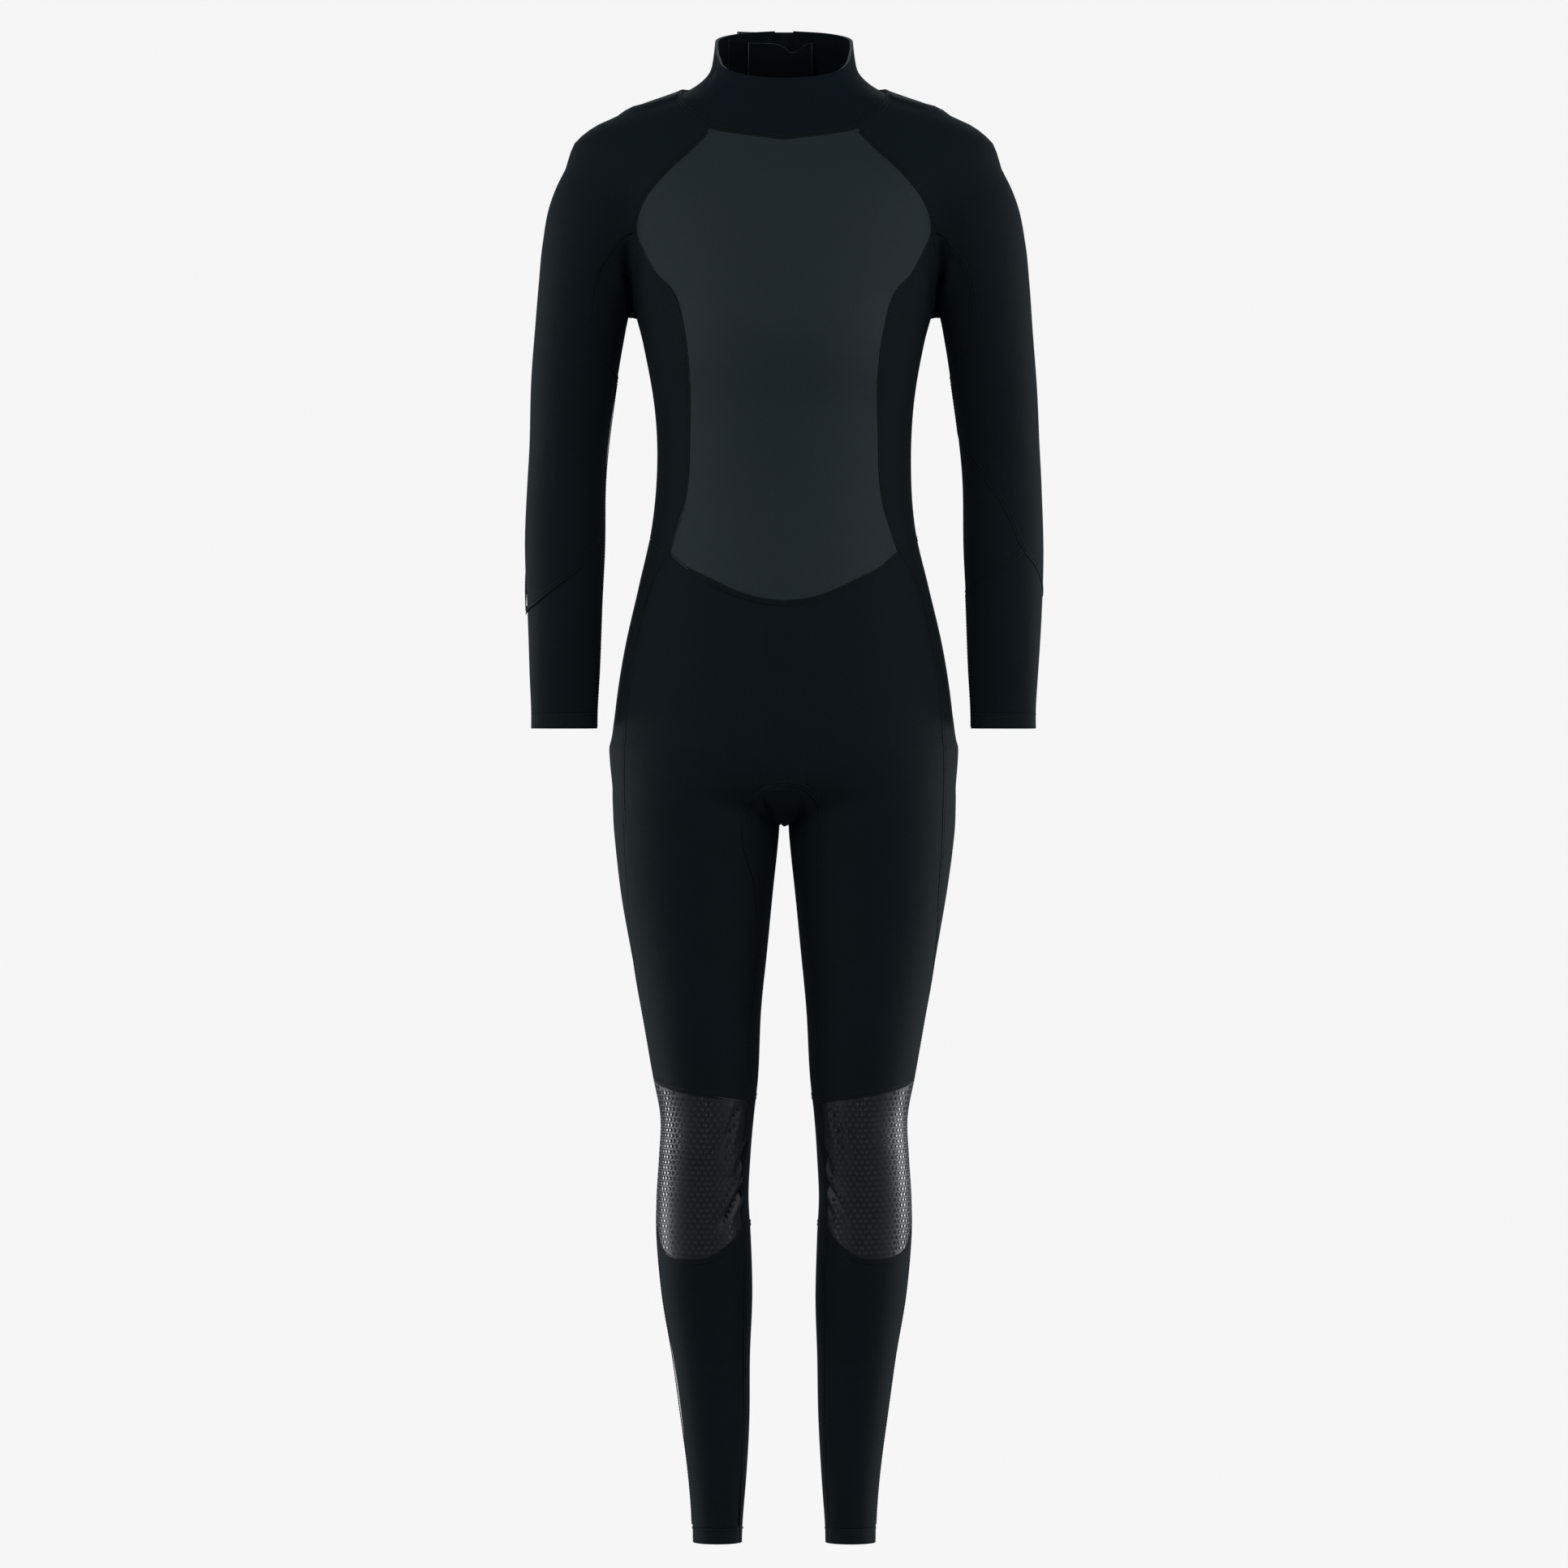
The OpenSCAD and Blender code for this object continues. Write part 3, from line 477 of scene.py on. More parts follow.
    def seat_top(self, q: Array) -> Array:
        """Height of the seat panel's upper edge at an angle round the hips."""
        f = self.form
        qf = f.turn(f.face(np.array(110.0), np.array(945.0), Face.FRONT))
        qb = f.turn(f.face(np.array(116.0), np.array(950.0), Face.REAR))
        t = (q - qf) / (qb - qf)
        x = np.linspace(0, 120, 25)
        z = along(self.back_hem, x)
        z = np.interp(q, f.turn(f.face(x, z, Face.REAR))[::-1], z[::-1])
        return np.where(t < 1, mix(945.0, 950.0, t) + 12 * np.sin(np.pi * np.clip(t, 0, 1)), z)

    # ---- panels

    def chest(self) -> Array:
        """Chest and yoke, from the curved hem up to the collar."""
        i = fine_edges(count(480, self.cell)) * 13
        u = fine_edges(count(240, self.cell)) * 2 - 1
        x, z = at_station(self.chest_edge, i)
        low = np.clip(1 - (z - 945) / 120, 0, None)[:, None]
        high = np.clip(1 - (1350 - z) / 60, 0, None)[:, None]
        hem = along(self.chest_hem, np.abs(u) * 110) - 945
        return self.form.face(x[:, None] * u, z[:, None] + low * hem - high * 11 * (1 - u**2), Face.FRONT)

    def side_row(self, i: Array, t: Array) -> Array:
        """Points of the side panel: i from waist to armpit, t from front seam to back seam."""
        f = self.form
        xf, zf = at_station(self.chest_edge, i)
        xb, zb = at_station(self.back_edge, i)
        first, last = f.face(xf, zf, Face.FRONT), f.face(xb, zb, Face.REAR)
        qf, qb = f.turn(first), f.turn(last)
        dip = along(self.side_dip, i) * np.sin(np.pi * t)
        row = f.girth(mix(qf, qb, t), mix(zf, zb, t) - dip)
        row = row + (first - f.girth(qf, zf)) * (1 - t)[..., None] + (last - f.girth(qb, zb)) * t[..., None]
        return f.settle(row)

    def side(self) -> Array:
        """Panel down the side, from armpit to waist."""
        i = fine_edges(count(300, self.cell)) * 8
        t = fine_edges(count(95, self.cell))
        return self.side_row(i[:, None] + 0 * t, t + 0 * i[:, None])

    def back(self) -> Array:
        """Panel beside the back zip."""
        i = fine_edges(count(480, self.cell)) * 13
        u = fine_edges(count(110, self.cell))
        x, z = at_station(self.back_edge, i)
        low = np.clip(1 - (z - 950) / 120, 0, None)[:, None]
        high = np.clip(1 - (1388 - z) / 90, 0, None)[:, None]
        hem = along(self.back_hem, self.zip_half + u * 107) - 950
        return self.form.face(
            mix(self.zip_half, x[:, None], u), z[:, None] + low * hem + high * 2 * (1 - u**2), Face.REAR
        )

    def _thigh(self, rear: bool) -> tuple[list[Array], list[Array]]:
        """Outer part and middle part of the front or seat panel, each as stacked rows."""
        f = self.form
        face = Face.REAR if rear else Face.FRONT
        s = fine_edges(count(150, self.cell))
        c = np.linspace(-1, 1, count(2 * self.gusset_half, self.cell))
        w = fine_edges(count(215, self.cell))
        outer, middle = [], []
        mid_x = c * self.gusset_half
        if rear:
            qr = f.turn(f.face(np.array(self.gusset_half), np.array(self.gusset_top), face))
            mid_q = 180 - (180 - qr) * np.abs(c)
            mid_top = self.seat_top(mid_q)
        else:
            mid_top = along(self.chest_hem, np.abs(mid_x))
        for k in w:
            if rear:
                zf = np.array(mix(945.0, self.gusset_top, k))
                qf = f.turn(f.face(along(self.hip_seam, zf), zf, Face.FRONT))
                q = mix(qr, qf, s)
                row = f.girth(q, mix(self.seat_top(q), self.gusset_top, k))
                edge = f.face(along(self.hip_seam, zf), zf, Face.FRONT)
                outer.append(f.settle(pin(row, row[0], edge, s), 2))
                row = f.girth(mid_q, mix(mid_top, self.arch(mid_x), k))
                row[:, 0] *= np.where(c < 0, -1, 1)
                middle.append(row)
            else:
                z = mix(along(self.chest_hem, mix(self.gusset_half, 112.0, s)), self.gusset_top, k)
                x = mix(self.gusset_half, along(self.hip_seam, mix(945.0, self.gusset_top, k)), s)
                outer.append(f.face(x, z, face))
                middle.append(f.face(mid_x, mix(mid_top, self.arch(mid_x), k), face))
        top = float(self.gusset_top)
        for z in np.linspace(top, self.thigh_low, count(top - self.thigh_low, self.cell))[1:]:
            zz = np.array(z)
            q = mix(self.gusset_angle(zz, face), self.hip_angle(zz), s)
            row = f.leg(q, zz + 0 * q)
            share = (z - 690) / (top - 690)
            if share > 0:
                if rear:
                    q0 = f.turn(f.face(along(self.gusset_seam, zz), zz, face))
                    q1 = f.turn(f.face(along(self.hip_seam, zz), zz, Face.FRONT))
                    high = f.girth(mix(q0, q1, s), zz + 0 * s)
                else:
                    high = f.face(mix(along(self.gusset_seam, zz), along(self.hip_seam, zz), s), zz + 0 * s, face)
                row = mix(row, high, share)
            if z > self.hip_low:
                row = pin(
                    row, f.face(along(self.gusset_seam, zz), zz, face),
                    f.face(along(self.hip_seam, zz), zz, Face.FRONT), s,
                )
                row = f.settle(row)
            outer.append(row)
        qk = mix(-140.0, 4.0, s) if rear else mix(140.0, 4.0, s)
        zk = self.knee_back_top(qk) if rear else along(self.pad_top, qk)
        q480 = mix(self.gusset_angle(np.array(self.thigh_low), face), self.hip_angle(np.array(self.thigh_low)), s)
        for k in fine_edges(count(50, self.cell))[1:]:
            outer.append(f.leg(mix(q480, qk, k), mix(self.thigh_low, zk, k)))
        return outer, middle

    def lower(self, rear: bool) -> tuple[Array, Array, Array]:
        """Front panel of belly and thighs, or seat panel: left part, middle part and right part."""
        outer, middle = self._thigh(rear)
        left = np.array(outer)
        right = left * np.array([-1, 1, 1])
        return left, np.array(middle), right

    def gusset(self) -> Array:
        """Crotch gusset, from the right knee's back over the crotch to the left one's."""
        f = self.form
        t = fine_edges(count(62, self.cell))
        rows = []
        for k in np.linspace(0, 2, 13):
            if k <= 1:
                x, z = self.gusset_half * k, self.arch(self.gusset_half * k)
            else:
                z = mix(self.gusset_top, 690.0, k - 1)
                x = along(self.gusset_seam, z)
            x, z = np.array(float(x)), np.array(float(z))
            middle = np.array([np.interp(k, [0, 1, 2], [0, 4, 7]), 0, np.interp(k, [0, 1, 2], [691.5, 684, 664])])
            rows.append(f.settle(bow(f.face(x, z, Face.FRONT), middle, f.face(x, z, Face.REAR), t)))
        for z in np.linspace(690, self.thigh_low, count(690 - self.thigh_low, self.cell))[1:]:
            zz = np.array(z)
            q0, q1 = self.gusset_angle(zz, Face.FRONT), 360 + self.gusset_angle(zz, Face.REAR)
            row = f.leg(mix(q0, q1, t), zz + 0 * t)
            share = np.clip((z - 630) / 60, 0, 1)
            if share > 0:
                middle = np.array([9 - 2 * share, 0, z - 26 * share])
                row = f.settle(mix(row, bow(row[0], middle, row[-1], t), share))
            rows.append(row)
        q0 = self.gusset_angle(np.array(self.thigh_low), Face.FRONT)
        q1 = 360 + self.gusset_angle(np.array(self.thigh_low), Face.REAR)
        qk = mix(140.0, 220.0, t)
        for k in fine_edges(count(50, self.cell))[1:]:
            rows.append(f.leg(mix(mix(q0, q1, t), qk, k), mix(self.thigh_low, self.knee_back_top(qk - 360), k)))
        side = np.array(rows)
        other = (side * np.array([-1, 1, 1]))[:0:-1]
        grid = np.concatenate([other, side])
        for _ in range(10):
            around = grid[:-2, 1:-1] + grid[2:, 1:-1] + grid[1:-1, :-2] + grid[1:-1, 2:]
            grid[1:-1, 1:-1] = f.settle(around / 4, 1)
        return grid

    def underarm_at(self, k: Array) -> tuple[Array, Array]:
        """Angle round the arm and height of the underarm gusset's seam, k from 0 in front to 8 behind."""
        f = self.form
        j = np.where(k > 4, 8 - k, k)
        seam = self.underarm.copy()
        seam[0, 1] = f.arm_turn(f.face(np.array(143.0), np.array(1249.0), Face.FRONT))
        q, z = along(seam[:, [0, 1]], j), along(seam[:, [0, 2]], j)
        return np.where(k > 4, 360 - q, q), z

    def underarm_gusset(self) -> Array:
        """Gusset between the body's side and the inside of the sleeve."""
        f = self.form
        t = np.linspace(0.004, 0.996, count(165, self.cell))
        s = fine_edges(count(45, self.cell))
        a = self.side_row(8.0 + 0 * t, t)
        q, z = self.underarm_at(t * 8)
        b = f.arm(q, z)
        top = (a + b) / 2
        top[:, 2] = 1250 - 46 * np.sin(np.pi * t) ** 0.6
        rows = []
        for k in s:
            row = bow(a, top, b, np.full(len(t), k))
            rows.append(row if k in (0, 1) else f.settle(row))
        return np.array(rows)

    def _fan(self, i: float, n: int, x: float | None = None, z: float | None = None) -> Array:
        """A row of the sleeve over the shoulder, fanned out from the raglan seams."""
        if x is None:
            xf, zf = at_station(self.chest_edge, np.array(8 + i))
            xb, zb = at_station(self.back_edge, np.array(8 + i))
        else:
            xf = xb = np.array(x)
            zf = zb = np.array(z)
        j = np.linspace(0, 1, n)
        q = np.radians(mix(90.0, -90.0, j))
        w = math.radians(float(along(self.fan_lean, np.array(float(i)))))
        origin = stack(mix(xf, xb, j), 0.0, mix(zf, zb, j))
        direction = stack(np.cos(q) * math.cos(w), -np.sin(q), np.cos(q) * math.sin(w))
        return self.form.cast(origin, direction, 130)

    def sleeve(self, side: Side) -> Array:
        """Raglan sleeve from the collar down to the elbow panel."""
        f = self.form
        n = count(290, self.cell)
        j = np.linspace(0, 1, n)
        q0 = f.turn(f.face(np.array(68.0), np.array(1350.0), Face.FRONT))
        q1 = f.turn(f.face(np.array(60.0), np.array(1388.0), Face.REAR))
        qn = mix(q0, q1, j)
        neck = f.girth(qn, along(self.collar_seam, qn))
        last = self._fan(5, n)
        rows = []
        for i in fine_edges(count(125, self.cell))[::-1] * 5:
            row = self._fan(i, n)
            if i > 4:
                row = row + (neck - last) * (i - 4) ** 2
                row = f.settle(row)
            rows.append(row)
        for k in np.linspace(0, 4, count(150, self.cell))[1:]:
            q, z = self.underarm_at(np.array(k))
            row = f.arm(mix(float(q), -float(q), j), z + 0 * j)
            if k < 1:
                edge = f.arm(q, z)
                row = f.settle(mix(self._fan(0, n, float(edge[0]), float(edge[2])), row, k))
            rows.append(row)
        ring = ring_angles(n)
        upper = self.upper(side, ring)
        for k in fine_edges(count(90, self.cell))[1:]:
            rows.append(f.arm(ring, mix(self.sleeve_ring, upper, k)))
        grid = np.array(rows)
        neck = grid[:16]
        for _ in range(8):
            around = neck[:-2, 1:-1] + neck[2:, 1:-1] + neck[1:-1, :-2] + neck[1:-1, 2:]
            neck[1:-1, 1:-1] = f.settle(around / 4, 1)
        return grid

    def upper(self, side: Side, q: Array) -> Array:
        """Lower edge of the raglan sleeve at angles round the arm."""
        edge = self.upper_left if side is Side.LEFT else self.upper_right
        return np.interp(q, edge[:, 0], edge[:, 1])

    def lower_edge(self, side: Side, q: Array) -> Array:
        """Upper edge of the forearm panel at angles round the arm."""
        edge = self.lower_left if side is Side.LEFT else self.lower_right
        spans = np.abs(q) >= 64 if side is Side.LEFT else q <= 0
        limit = self.upper(side, q) - np.where(spans, self.tip, 0)
        return np.minimum(np.interp(q, edge[:, 0], edge[:, 1]), limit)

    def elbow(self, side: Side) -> Array:
        """Panel over the elbow, pointed at both ends."""
        q = np.linspace(64, 296, 61) if side is Side.LEFT else np.linspace(-180, 0, 49)
        w = np.where(q > 180, q - 360, q)
        s = fine_edges(count(110, self.cell))[:, None]
        return self.form.arm(q + 0 * s, mix(self.upper(side, w), self.lower_edge(side, w), s))

    def forearm(self, side: Side) -> Array:
        """Panel from the elbow to the wrist hem."""
        q = ring_angles(count(230, self.cell))
        s = fine_edges(count(140, self.cell))[:, None]
        return self.form.arm(q + 0 * s, mix(self.lower_edge(side, q), self.wrist + self.hem, s))

    def wrist_hem(self) -> Array:
        """Turned hem of a sleeve."""
        q = ring_angles(count(230, self.cell))
        s = np.linspace(0, 1, 6)[:, None]
        return self.form.arm(q + 0 * s, mix(self.wrist + self.hem, self.wrist, s))

    def knee_pad(self) -> Array:
        """Printed pad over the knee."""
        q = mix(4.0, 140.0, fine_edges(count(110, 3.4)))
        s = fine_edges(count(150, 3.4))[:, None]
        return self.form.leg(q + 0 * s, mix(along(self.pad_top, q), along(self.pad_base, q), s))

    def knee_back(self) -> Array:
        """Panel behind the knee."""
        q = mix(4.0, -220.0, fine_edges(count(170, self.cell)))
        s = fine_edges(count(125, self.cell))[:, None]
        return self.form.leg(q + 0 * s, mix(self.knee_back_top(q), self.knee_back_base(q), s))

    def shin(self) -> Array:
        """Panel down the shin."""
        q = mix(4.0, 140.0, fine_edges(count(110, self.cell)))
        s = fine_edges(count(270, self.cell))[:, None]
        return self.form.leg(q + 0 * s, mix(along(self.pad_base, q), self.hem, s))

    def calf(self) -> Array:
        """Panel down the calf."""
        q = mix(4.0, -220.0, fine_edges(count(150, self.cell)))
        s = fine_edges(count(290, self.cell))[:, None]
        return self.form.leg(q + 0 * s, mix(self.knee_back_base(q), self.hem, s))

    def ankle_hem(self) -> Array:
        """Turned hem of a leg."""
        q = np.linspace(140, -220, count(190, self.cell))
        s = np.linspace(0, 1, 6)[:, None]
        return self.form.leg(q + 0 * s, mix(self.hem, 0.0, s))

    def collar_at(self, q: Array, s: Array) -> Array:
        """Points of the collar: q round the neck, s from seam to rim."""
        return self.form.girth(q, mix(along(self.collar_seam, np.abs(q)), along(self.collar_rim, np.abs(q)), s))

    def collar(self) -> Array:
        """Stand collar, open at the back beside the zip."""
        q = mix(-self.collar_end, self.collar_end, fine_edges(count(400, 3.6)))
        s = fine_edges(count(60, 3.6))[:, None]
        return self.collar_at(q + 0 * s, s + 0 * q)


# ---------------------------------------------------------------- folds and wear of the cloth


@dataclass(frozen=True)
class Fold:
    """A crease or ridge along a line on the suit.

    Depth is how far the cloth sinks along the line, and a negative one is a ridge.
    """

    points: tuple[tuple[float, float], ...]
    depth: float
    width: float
    face: Face = Face.FRONT
    ridge: float = 0.35

    def line(self, form: Form) -> Array:
        """The line's own points on the form."""
        p = np.array(self.points, float)
        n = 14
        t = np.linspace(0, len(p) - 1, n)
        return form.face(*at_station(p, t), self.face)

    def sink(self, p: Array, line: Array) -> Array:
        """How far points p sink: a groove with a low ridge on each side, faded at both ends."""
        lo, hi = line.min(0) - 4 * self.width, line.max(0) + 4 * self.width
        near = np.all((p > lo) & (p < hi), axis=-1)
        out = np.zeros(len(p))
        if not near.any():
            return out
        q = p[near]
        best = np.full(len(q), 1e9)
        place = np.zeros(len(q))
        for k in range(len(line) - 1):
            a, d = line[k], line[k + 1] - line[k]
            t = np.clip(((q - a) @ d) / max(d @ d, 1e-9), 0, 1)
            r = np.linalg.norm(q - a - t[:, None] * d, axis=1)
            closer = r < best
            best = np.where(closer, r, best)
            place = np.where(closer, (k + t) / (len(line) - 1), place)
        fade = np.sin(np.pi * np.clip(place, 0.02, 0.98)) ** 0.7
        u = best / self.width
        out[near] = self.depth * fade * (np.exp(-(u**2)) - self.ridge * np.exp(-((u - 1.9) ** 2) * 1.2))
        return out


def rumple(p: Array, seed: int) -> Array:
    """Very slight unevenness of stretched cloth, from a few slow waves."""
    rng = np.random.default_rng(seed)
    total = np.zeros(len(p))
    for _ in range(18):
        k = rng.normal(size=3) * np.array([0.045, 0.045, 0.03])
        total += np.sin(p @ k + rng.uniform(0, 2 * math.pi)) * rng.uniform(0.05, 0.16)
    return total


@dataclass
class Drape:
    """All folds of the suit, applied alike to every piece that lies on it."""

    form: Form
    folds: tuple[Fold, ...]
    lines: list[Array] = field(init=False)

    def __post_init__(self) -> None:
        """Lays the folds on the form."""
        self.lines = [fold.line(self.form) for fold in self.folds]

    def sink(self, p: Array) -> Array:
        """Depth of the folds at points of any grid."""
        flat = p.reshape(-1, 3)
        total = rumple(flat, 7)
        for fold, line in zip(self.folds, self.lines):
            total = total + fold.sink(flat, line)
        return total.reshape(p.shape[:-1])

    def lay(self, p: Array, lift: Array | float = 0.0) -> Array:
        """Points of the form moved to the cloth's face, lifted by lift."""
        return p + self.form.normal(p) * (lift - self.sink(p))[..., None]


def mirrored(folds: Sequence[Fold]) -> list[Fold]:
    """The same folds on the other side."""
    return [
        Fold(tuple((-x, z) for x, z in f.points), f.depth, f.width, f.face, f.ridge) for f in folds
    ]


def suit_folds() -> tuple[Fold, ...]:
    """Where the suit creases when it is worn standing."""
    rear = Face.REAR
    both = [
        Fold(((149, 1250), (152, 1226), (150, 1202), (148, 1184)), 6.5, 4.4),
        Fold(((158, 1240), (163, 1205), (162, 1170), (158, 1135)), 1.8, 4.6),
        Fold(((170, 1225), (173, 1190), (170, 1150)), 0.9, 5.0),
        Fold(((133, 1262), (141, 1246), (144, 1226)), 1.6, 5.0),
        Fold(((150, 1248), (153, 1222), (150, 1190)), 2.6, 6.0, rear),
        Fold(((160, 1236), (165, 1200), (162, 1150)), 1.2, 6.0, rear),
        Fold(((120, 1240), (136, 1226), (141, 1210)), 1.1, 6.0, rear),
        Fold(((185, 1046), (205, 1038), (226, 1042)), 0.9, 5.0),
        Fold(((178, 1012), (196, 1004), (216, 1012)), 0.7, 5.0),
        Fold(((182, 1052), (205, 1044), (232, 1050)), 1.1, 6.0, rear),
        Fold(((180, 1020), (205, 1010), (236, 1016)), 1.0, 6.0, rear),
        Fold(((186, 985), (208, 978), (234, 986)), 0.8, 6.0, rear),
        Fold(((48, 175), (60, 169), (78, 172)), 0.9, 4.0),
        Fold(((50, 158), (66, 153), (88, 160)), 0.6, 4.0),
        Fold(((36, 404), (60, 396), (95, 404)), 1.0, 6.0, rear),
        Fold(((38, 372), (64, 364), (104, 374)), 1.3, 6.0, rear),
        Fold(((38, 340), (64, 334), (100, 342)), 0.9, 6.0, rear),
        Fold(((34, 725), (70, 704), (110, 700), (140, 712)), 1.3, 8.0, rear),
        Fold(((44, 690), (80, 676), (118, 680)), 0.8, 8.0, rear),
        Fold(((20, 1050), (60, 1042), (100, 1050)), 0.9, 9.0, rear),
        Fold(((20, 1010), (58, 1000), (98, 1010)), 0.8, 9.0, rear),
        Fold(((30, 1345), (60, 1352), (84, 1350)), 0.9, 7.0, rear),
        Fold(((46, 205), (62, 198), (80, 204)), 0.7, 5.0, rear),
        Fold(((44, 150), (62, 144), (82, 150)), 0.6, 5.0, rear),
    ]
    one = [
        Fold(((-20, 712), (-14, 700), (-5, 690)), 3.0, 2.8),
        Fold(((21, 706), (14, 697), (6, 690)), 2.8, 2.8),
        Fold(((46, 424), (50, 404), (56, 384), (62, 362)), 3.6, 3.6, ridge=0.5),
        Fold(((36, 356), (44, 340), (54, 322), (62, 300)), 3.2, 3.4, ridge=0.5),
        Fold(((34, 392), (40, 372), (46, 352)), 2.2, 3.2, ridge=0.5),
        Fold(((40, 330), (46, 316), (50, 300)), 1.2, 3.0, ridge=0.6),
        Fold(((-44, 420), (-52, 396), (-61, 370)), 3.2, 3.4, ridge=0.5),
        Fold(((-34, 388), (-41, 368), (-47, 350)), 2.2, 3.2, ridge=0.5),
        Fold(((-36, 350), (-46, 330), (-60, 304)), 3.0, 3.4, ridge=0.5),
        Fold(((-219, 1039), (-205, 1031), (-192, 1030)), 1.4, 3.0),
        Fold(((192, 1052), (206, 1046), (222, 1050)), 1.0, 3.4),
        Fold(((-60, 1424), (-66, 1408), (-72, 1392)), 1.2, 4.0),
        Fold(((50, 1352), (58, 1368), (62, 1384)), 0.8, 4.0),
        Fold(((-86, 968), (-60, 962), (-36, 966)), 0.5, 6.0),
        Fold(((92, 962), (66, 956), (40, 960)), 0.5, 6.0),
        Fold(((34, 285), (38, 262), (38, 235)), 0.8, 3.0),
        Fold(((-34, 285), (-38, 262), (-38, 235)), 0.8, 3.0),
        Fold(((130, 735), (112, 722), (92, 716)), 0.7, 7.0),
        Fold(((-130, 735), (-112, 722), (-92, 716)), 0.7, 7.0),
    ]
    return tuple(both + mirrored(both) + one)


# ---------------------------------------------------------------- meshes


@dataclass(frozen=True)
class Place:
    """Turns millimetres above the ankle hems into the row frame's metres."""

    hem: float

    def metres(self, p: Array) -> Array:
        """Points in metres, in the row frame."""
        return p / 1000 + np.array([0, 0, self.hem])


def grid_mesh(name: str, grid: Array, place: Place, outward: Array) -> bpy.types.Object:
    """An object from a grid of points, with a UV map in metres along the cloth.

    Args:
        name: The object's name.
        grid: Points (rows, columns, 3) in millimetres.
        place: Turns the points into metres.
        outward: Directions that the faces should look in, at the grid's points.

    Returns:
        The new object, linked to the scene.
    """
    rows, columns = grid.shape[:2]
    bm = bmesh.new()
    bmesh.ops.create_grid(bm, x_segments=columns - 1, y_segments=rows - 1, size=1.0)
    bm.verts.ensure_lookup_table()
    order = np.lexsort(
        (np.array([round(v.co.x, 5) for v in bm.verts]), np.array([round(v.co.y, 5) for v in bm.verts]))
    )
    points = place.metres(grid).reshape(-1, 3)
    across = np.zeros((rows, columns))
    across[:, 1:] = np.cumsum(np.linalg.norm(np.diff(grid, axis=1), axis=2), axis=1)
    across -= across[:, columns // 2 : columns // 2 + 1]
    up = np.zeros((rows, columns))
    up[1:] = np.cumsum(np.linalg.norm(np.diff(grid, axis=0), axis=2), axis=0)
    uvs = (np.stack([across, up], -1) / 1000).reshape(-1, 2)
    rank = np.empty(len(points), int)
    rank[order] = np.arange(len(points))
    uv = bm.loops.layers.uv.new("UVMap")
    for v, r in zip(bm.verts, rank):
        v.co = points[r]
    for face in bm.faces:
        face.smooth = True
        for loop in face.loops:
            loop[uv].uv = uvs[rank[loop.vert.index]]
    flat = outward.reshape(-1, 3)
    bm.normal_update()
    some = list(bm.faces)[:: max(1, len(bm.faces) // 200)]
    if sum(f.normal.dot(Vector(flat[rank[f.verts[0].index]])) for f in some) < 0:
        bmesh.ops.reverse_faces(bm, faces=bm.faces)
    return new_object(name, bm)


def new_object(name: str, bm: bmesh.types.BMesh) -> bpy.types.Object:
    """Turns a bmesh into an object in the scene, and frees it."""
    mesh = bpy.data.meshes.new(name)
    bm.to_mesh(mesh)
    bm.free()
    obj = bpy.data.objects.new(name, mesh)
    bpy.context.scene.collection.objects.link(obj)
    return obj


def dressed(obj: bpy.types.Object, *materials: bpy.types.Material) -> bpy.types.Object:
    """Gives an object its materials."""
    for material in materials:
        obj.data.materials.append(material)
    return obj


def thicken(obj: bpy.types.Object, thickness: float, rim: int = 0, inside: int = 0) -> None:
    """Makes a closed sheet of an open grid, inwards from its face.

    Args:
        obj: The open grid.
        thickness: Thickness in millimetres.
        rim: Material slot offset of the cut edges.
        inside: Material slot offset of the inner face.
    """
    solid = obj.modifiers.new("thickness", "SOLIDIFY")
    solid.thickness = thickness / 1000
    solid.offset = -1.0
    solid.use_even_offset = False
    solid.material_offset_rim = rim
    solid.material_offset = inside


# ---------------------------------------------------------------- finishes


class Graph:
    """Adds and links nodes in one node tree."""

    def __init__(self, tree: bpy.types.NodeTree) -> None:
        """Starts on an existing tree."""
        self.tree = tree

    def add(self, kind: str, **settings: object) -> bpy.types.Node:
        """A new node with some of its settings.

        Args:
            kind: The node's type name.
            **settings: Attributes of the node, or values of its inputs by name with spaces as underscores.

        Returns:
            The node.
        """
        node = self.tree.nodes.new(kind)
        for key, value in settings.items():
            if hasattr(node, key):
                setattr(node, key, value)
            else:
                node.inputs[key.replace("_", " ")].default_value = value
        return node

    def link(self, source: bpy.types.NodeSocket, target: bpy.types.NodeSocket) -> None:
        """Links two sockets."""
        self.tree.links.new(source, target)

    def math(self, operation: str, a: object, b: object = 0.0) -> bpy.types.NodeSocket:
        """Result of a math node on two numbers or sockets."""
        node = self.tree.nodes.new("ShaderNodeMath")
        node.operation = operation
        for socket, value in zip(node.inputs, (a, b)):
            if isinstance(value, bpy.types.NodeSocket):
                self.tree.links.new(value, socket)
            else:
                socket.default_value = float(value)
        return node.outputs[0]


def effect_group(
    name: str, inputs: dict[str, float], outputs: Sequence[str]
) -> tuple[bpy.types.NodeTree, bpy.types.Node, bpy.types.Node]:
    """An empty node group with a Vector input, more number inputs, and number outputs."""
    tree = bpy.data.node_groups.new(name, "ShaderNodeTree")
    tree.interface.new_socket("Vector", in_out="INPUT", socket_type="NodeSocketVector")
    for key, value in inputs.items():
        socket = tree.interface.new_socket(key, in_out="INPUT", socket_type="NodeSocketFloat")
        socket.default_value = value
    for key in outputs:
        tree.interface.new_socket(key, in_out="OUTPUT", socket_type="NodeSocketFloat")
    return tree, tree.nodes.new("NodeGroupInput"), tree.nodes.new("NodeGroupOutput")


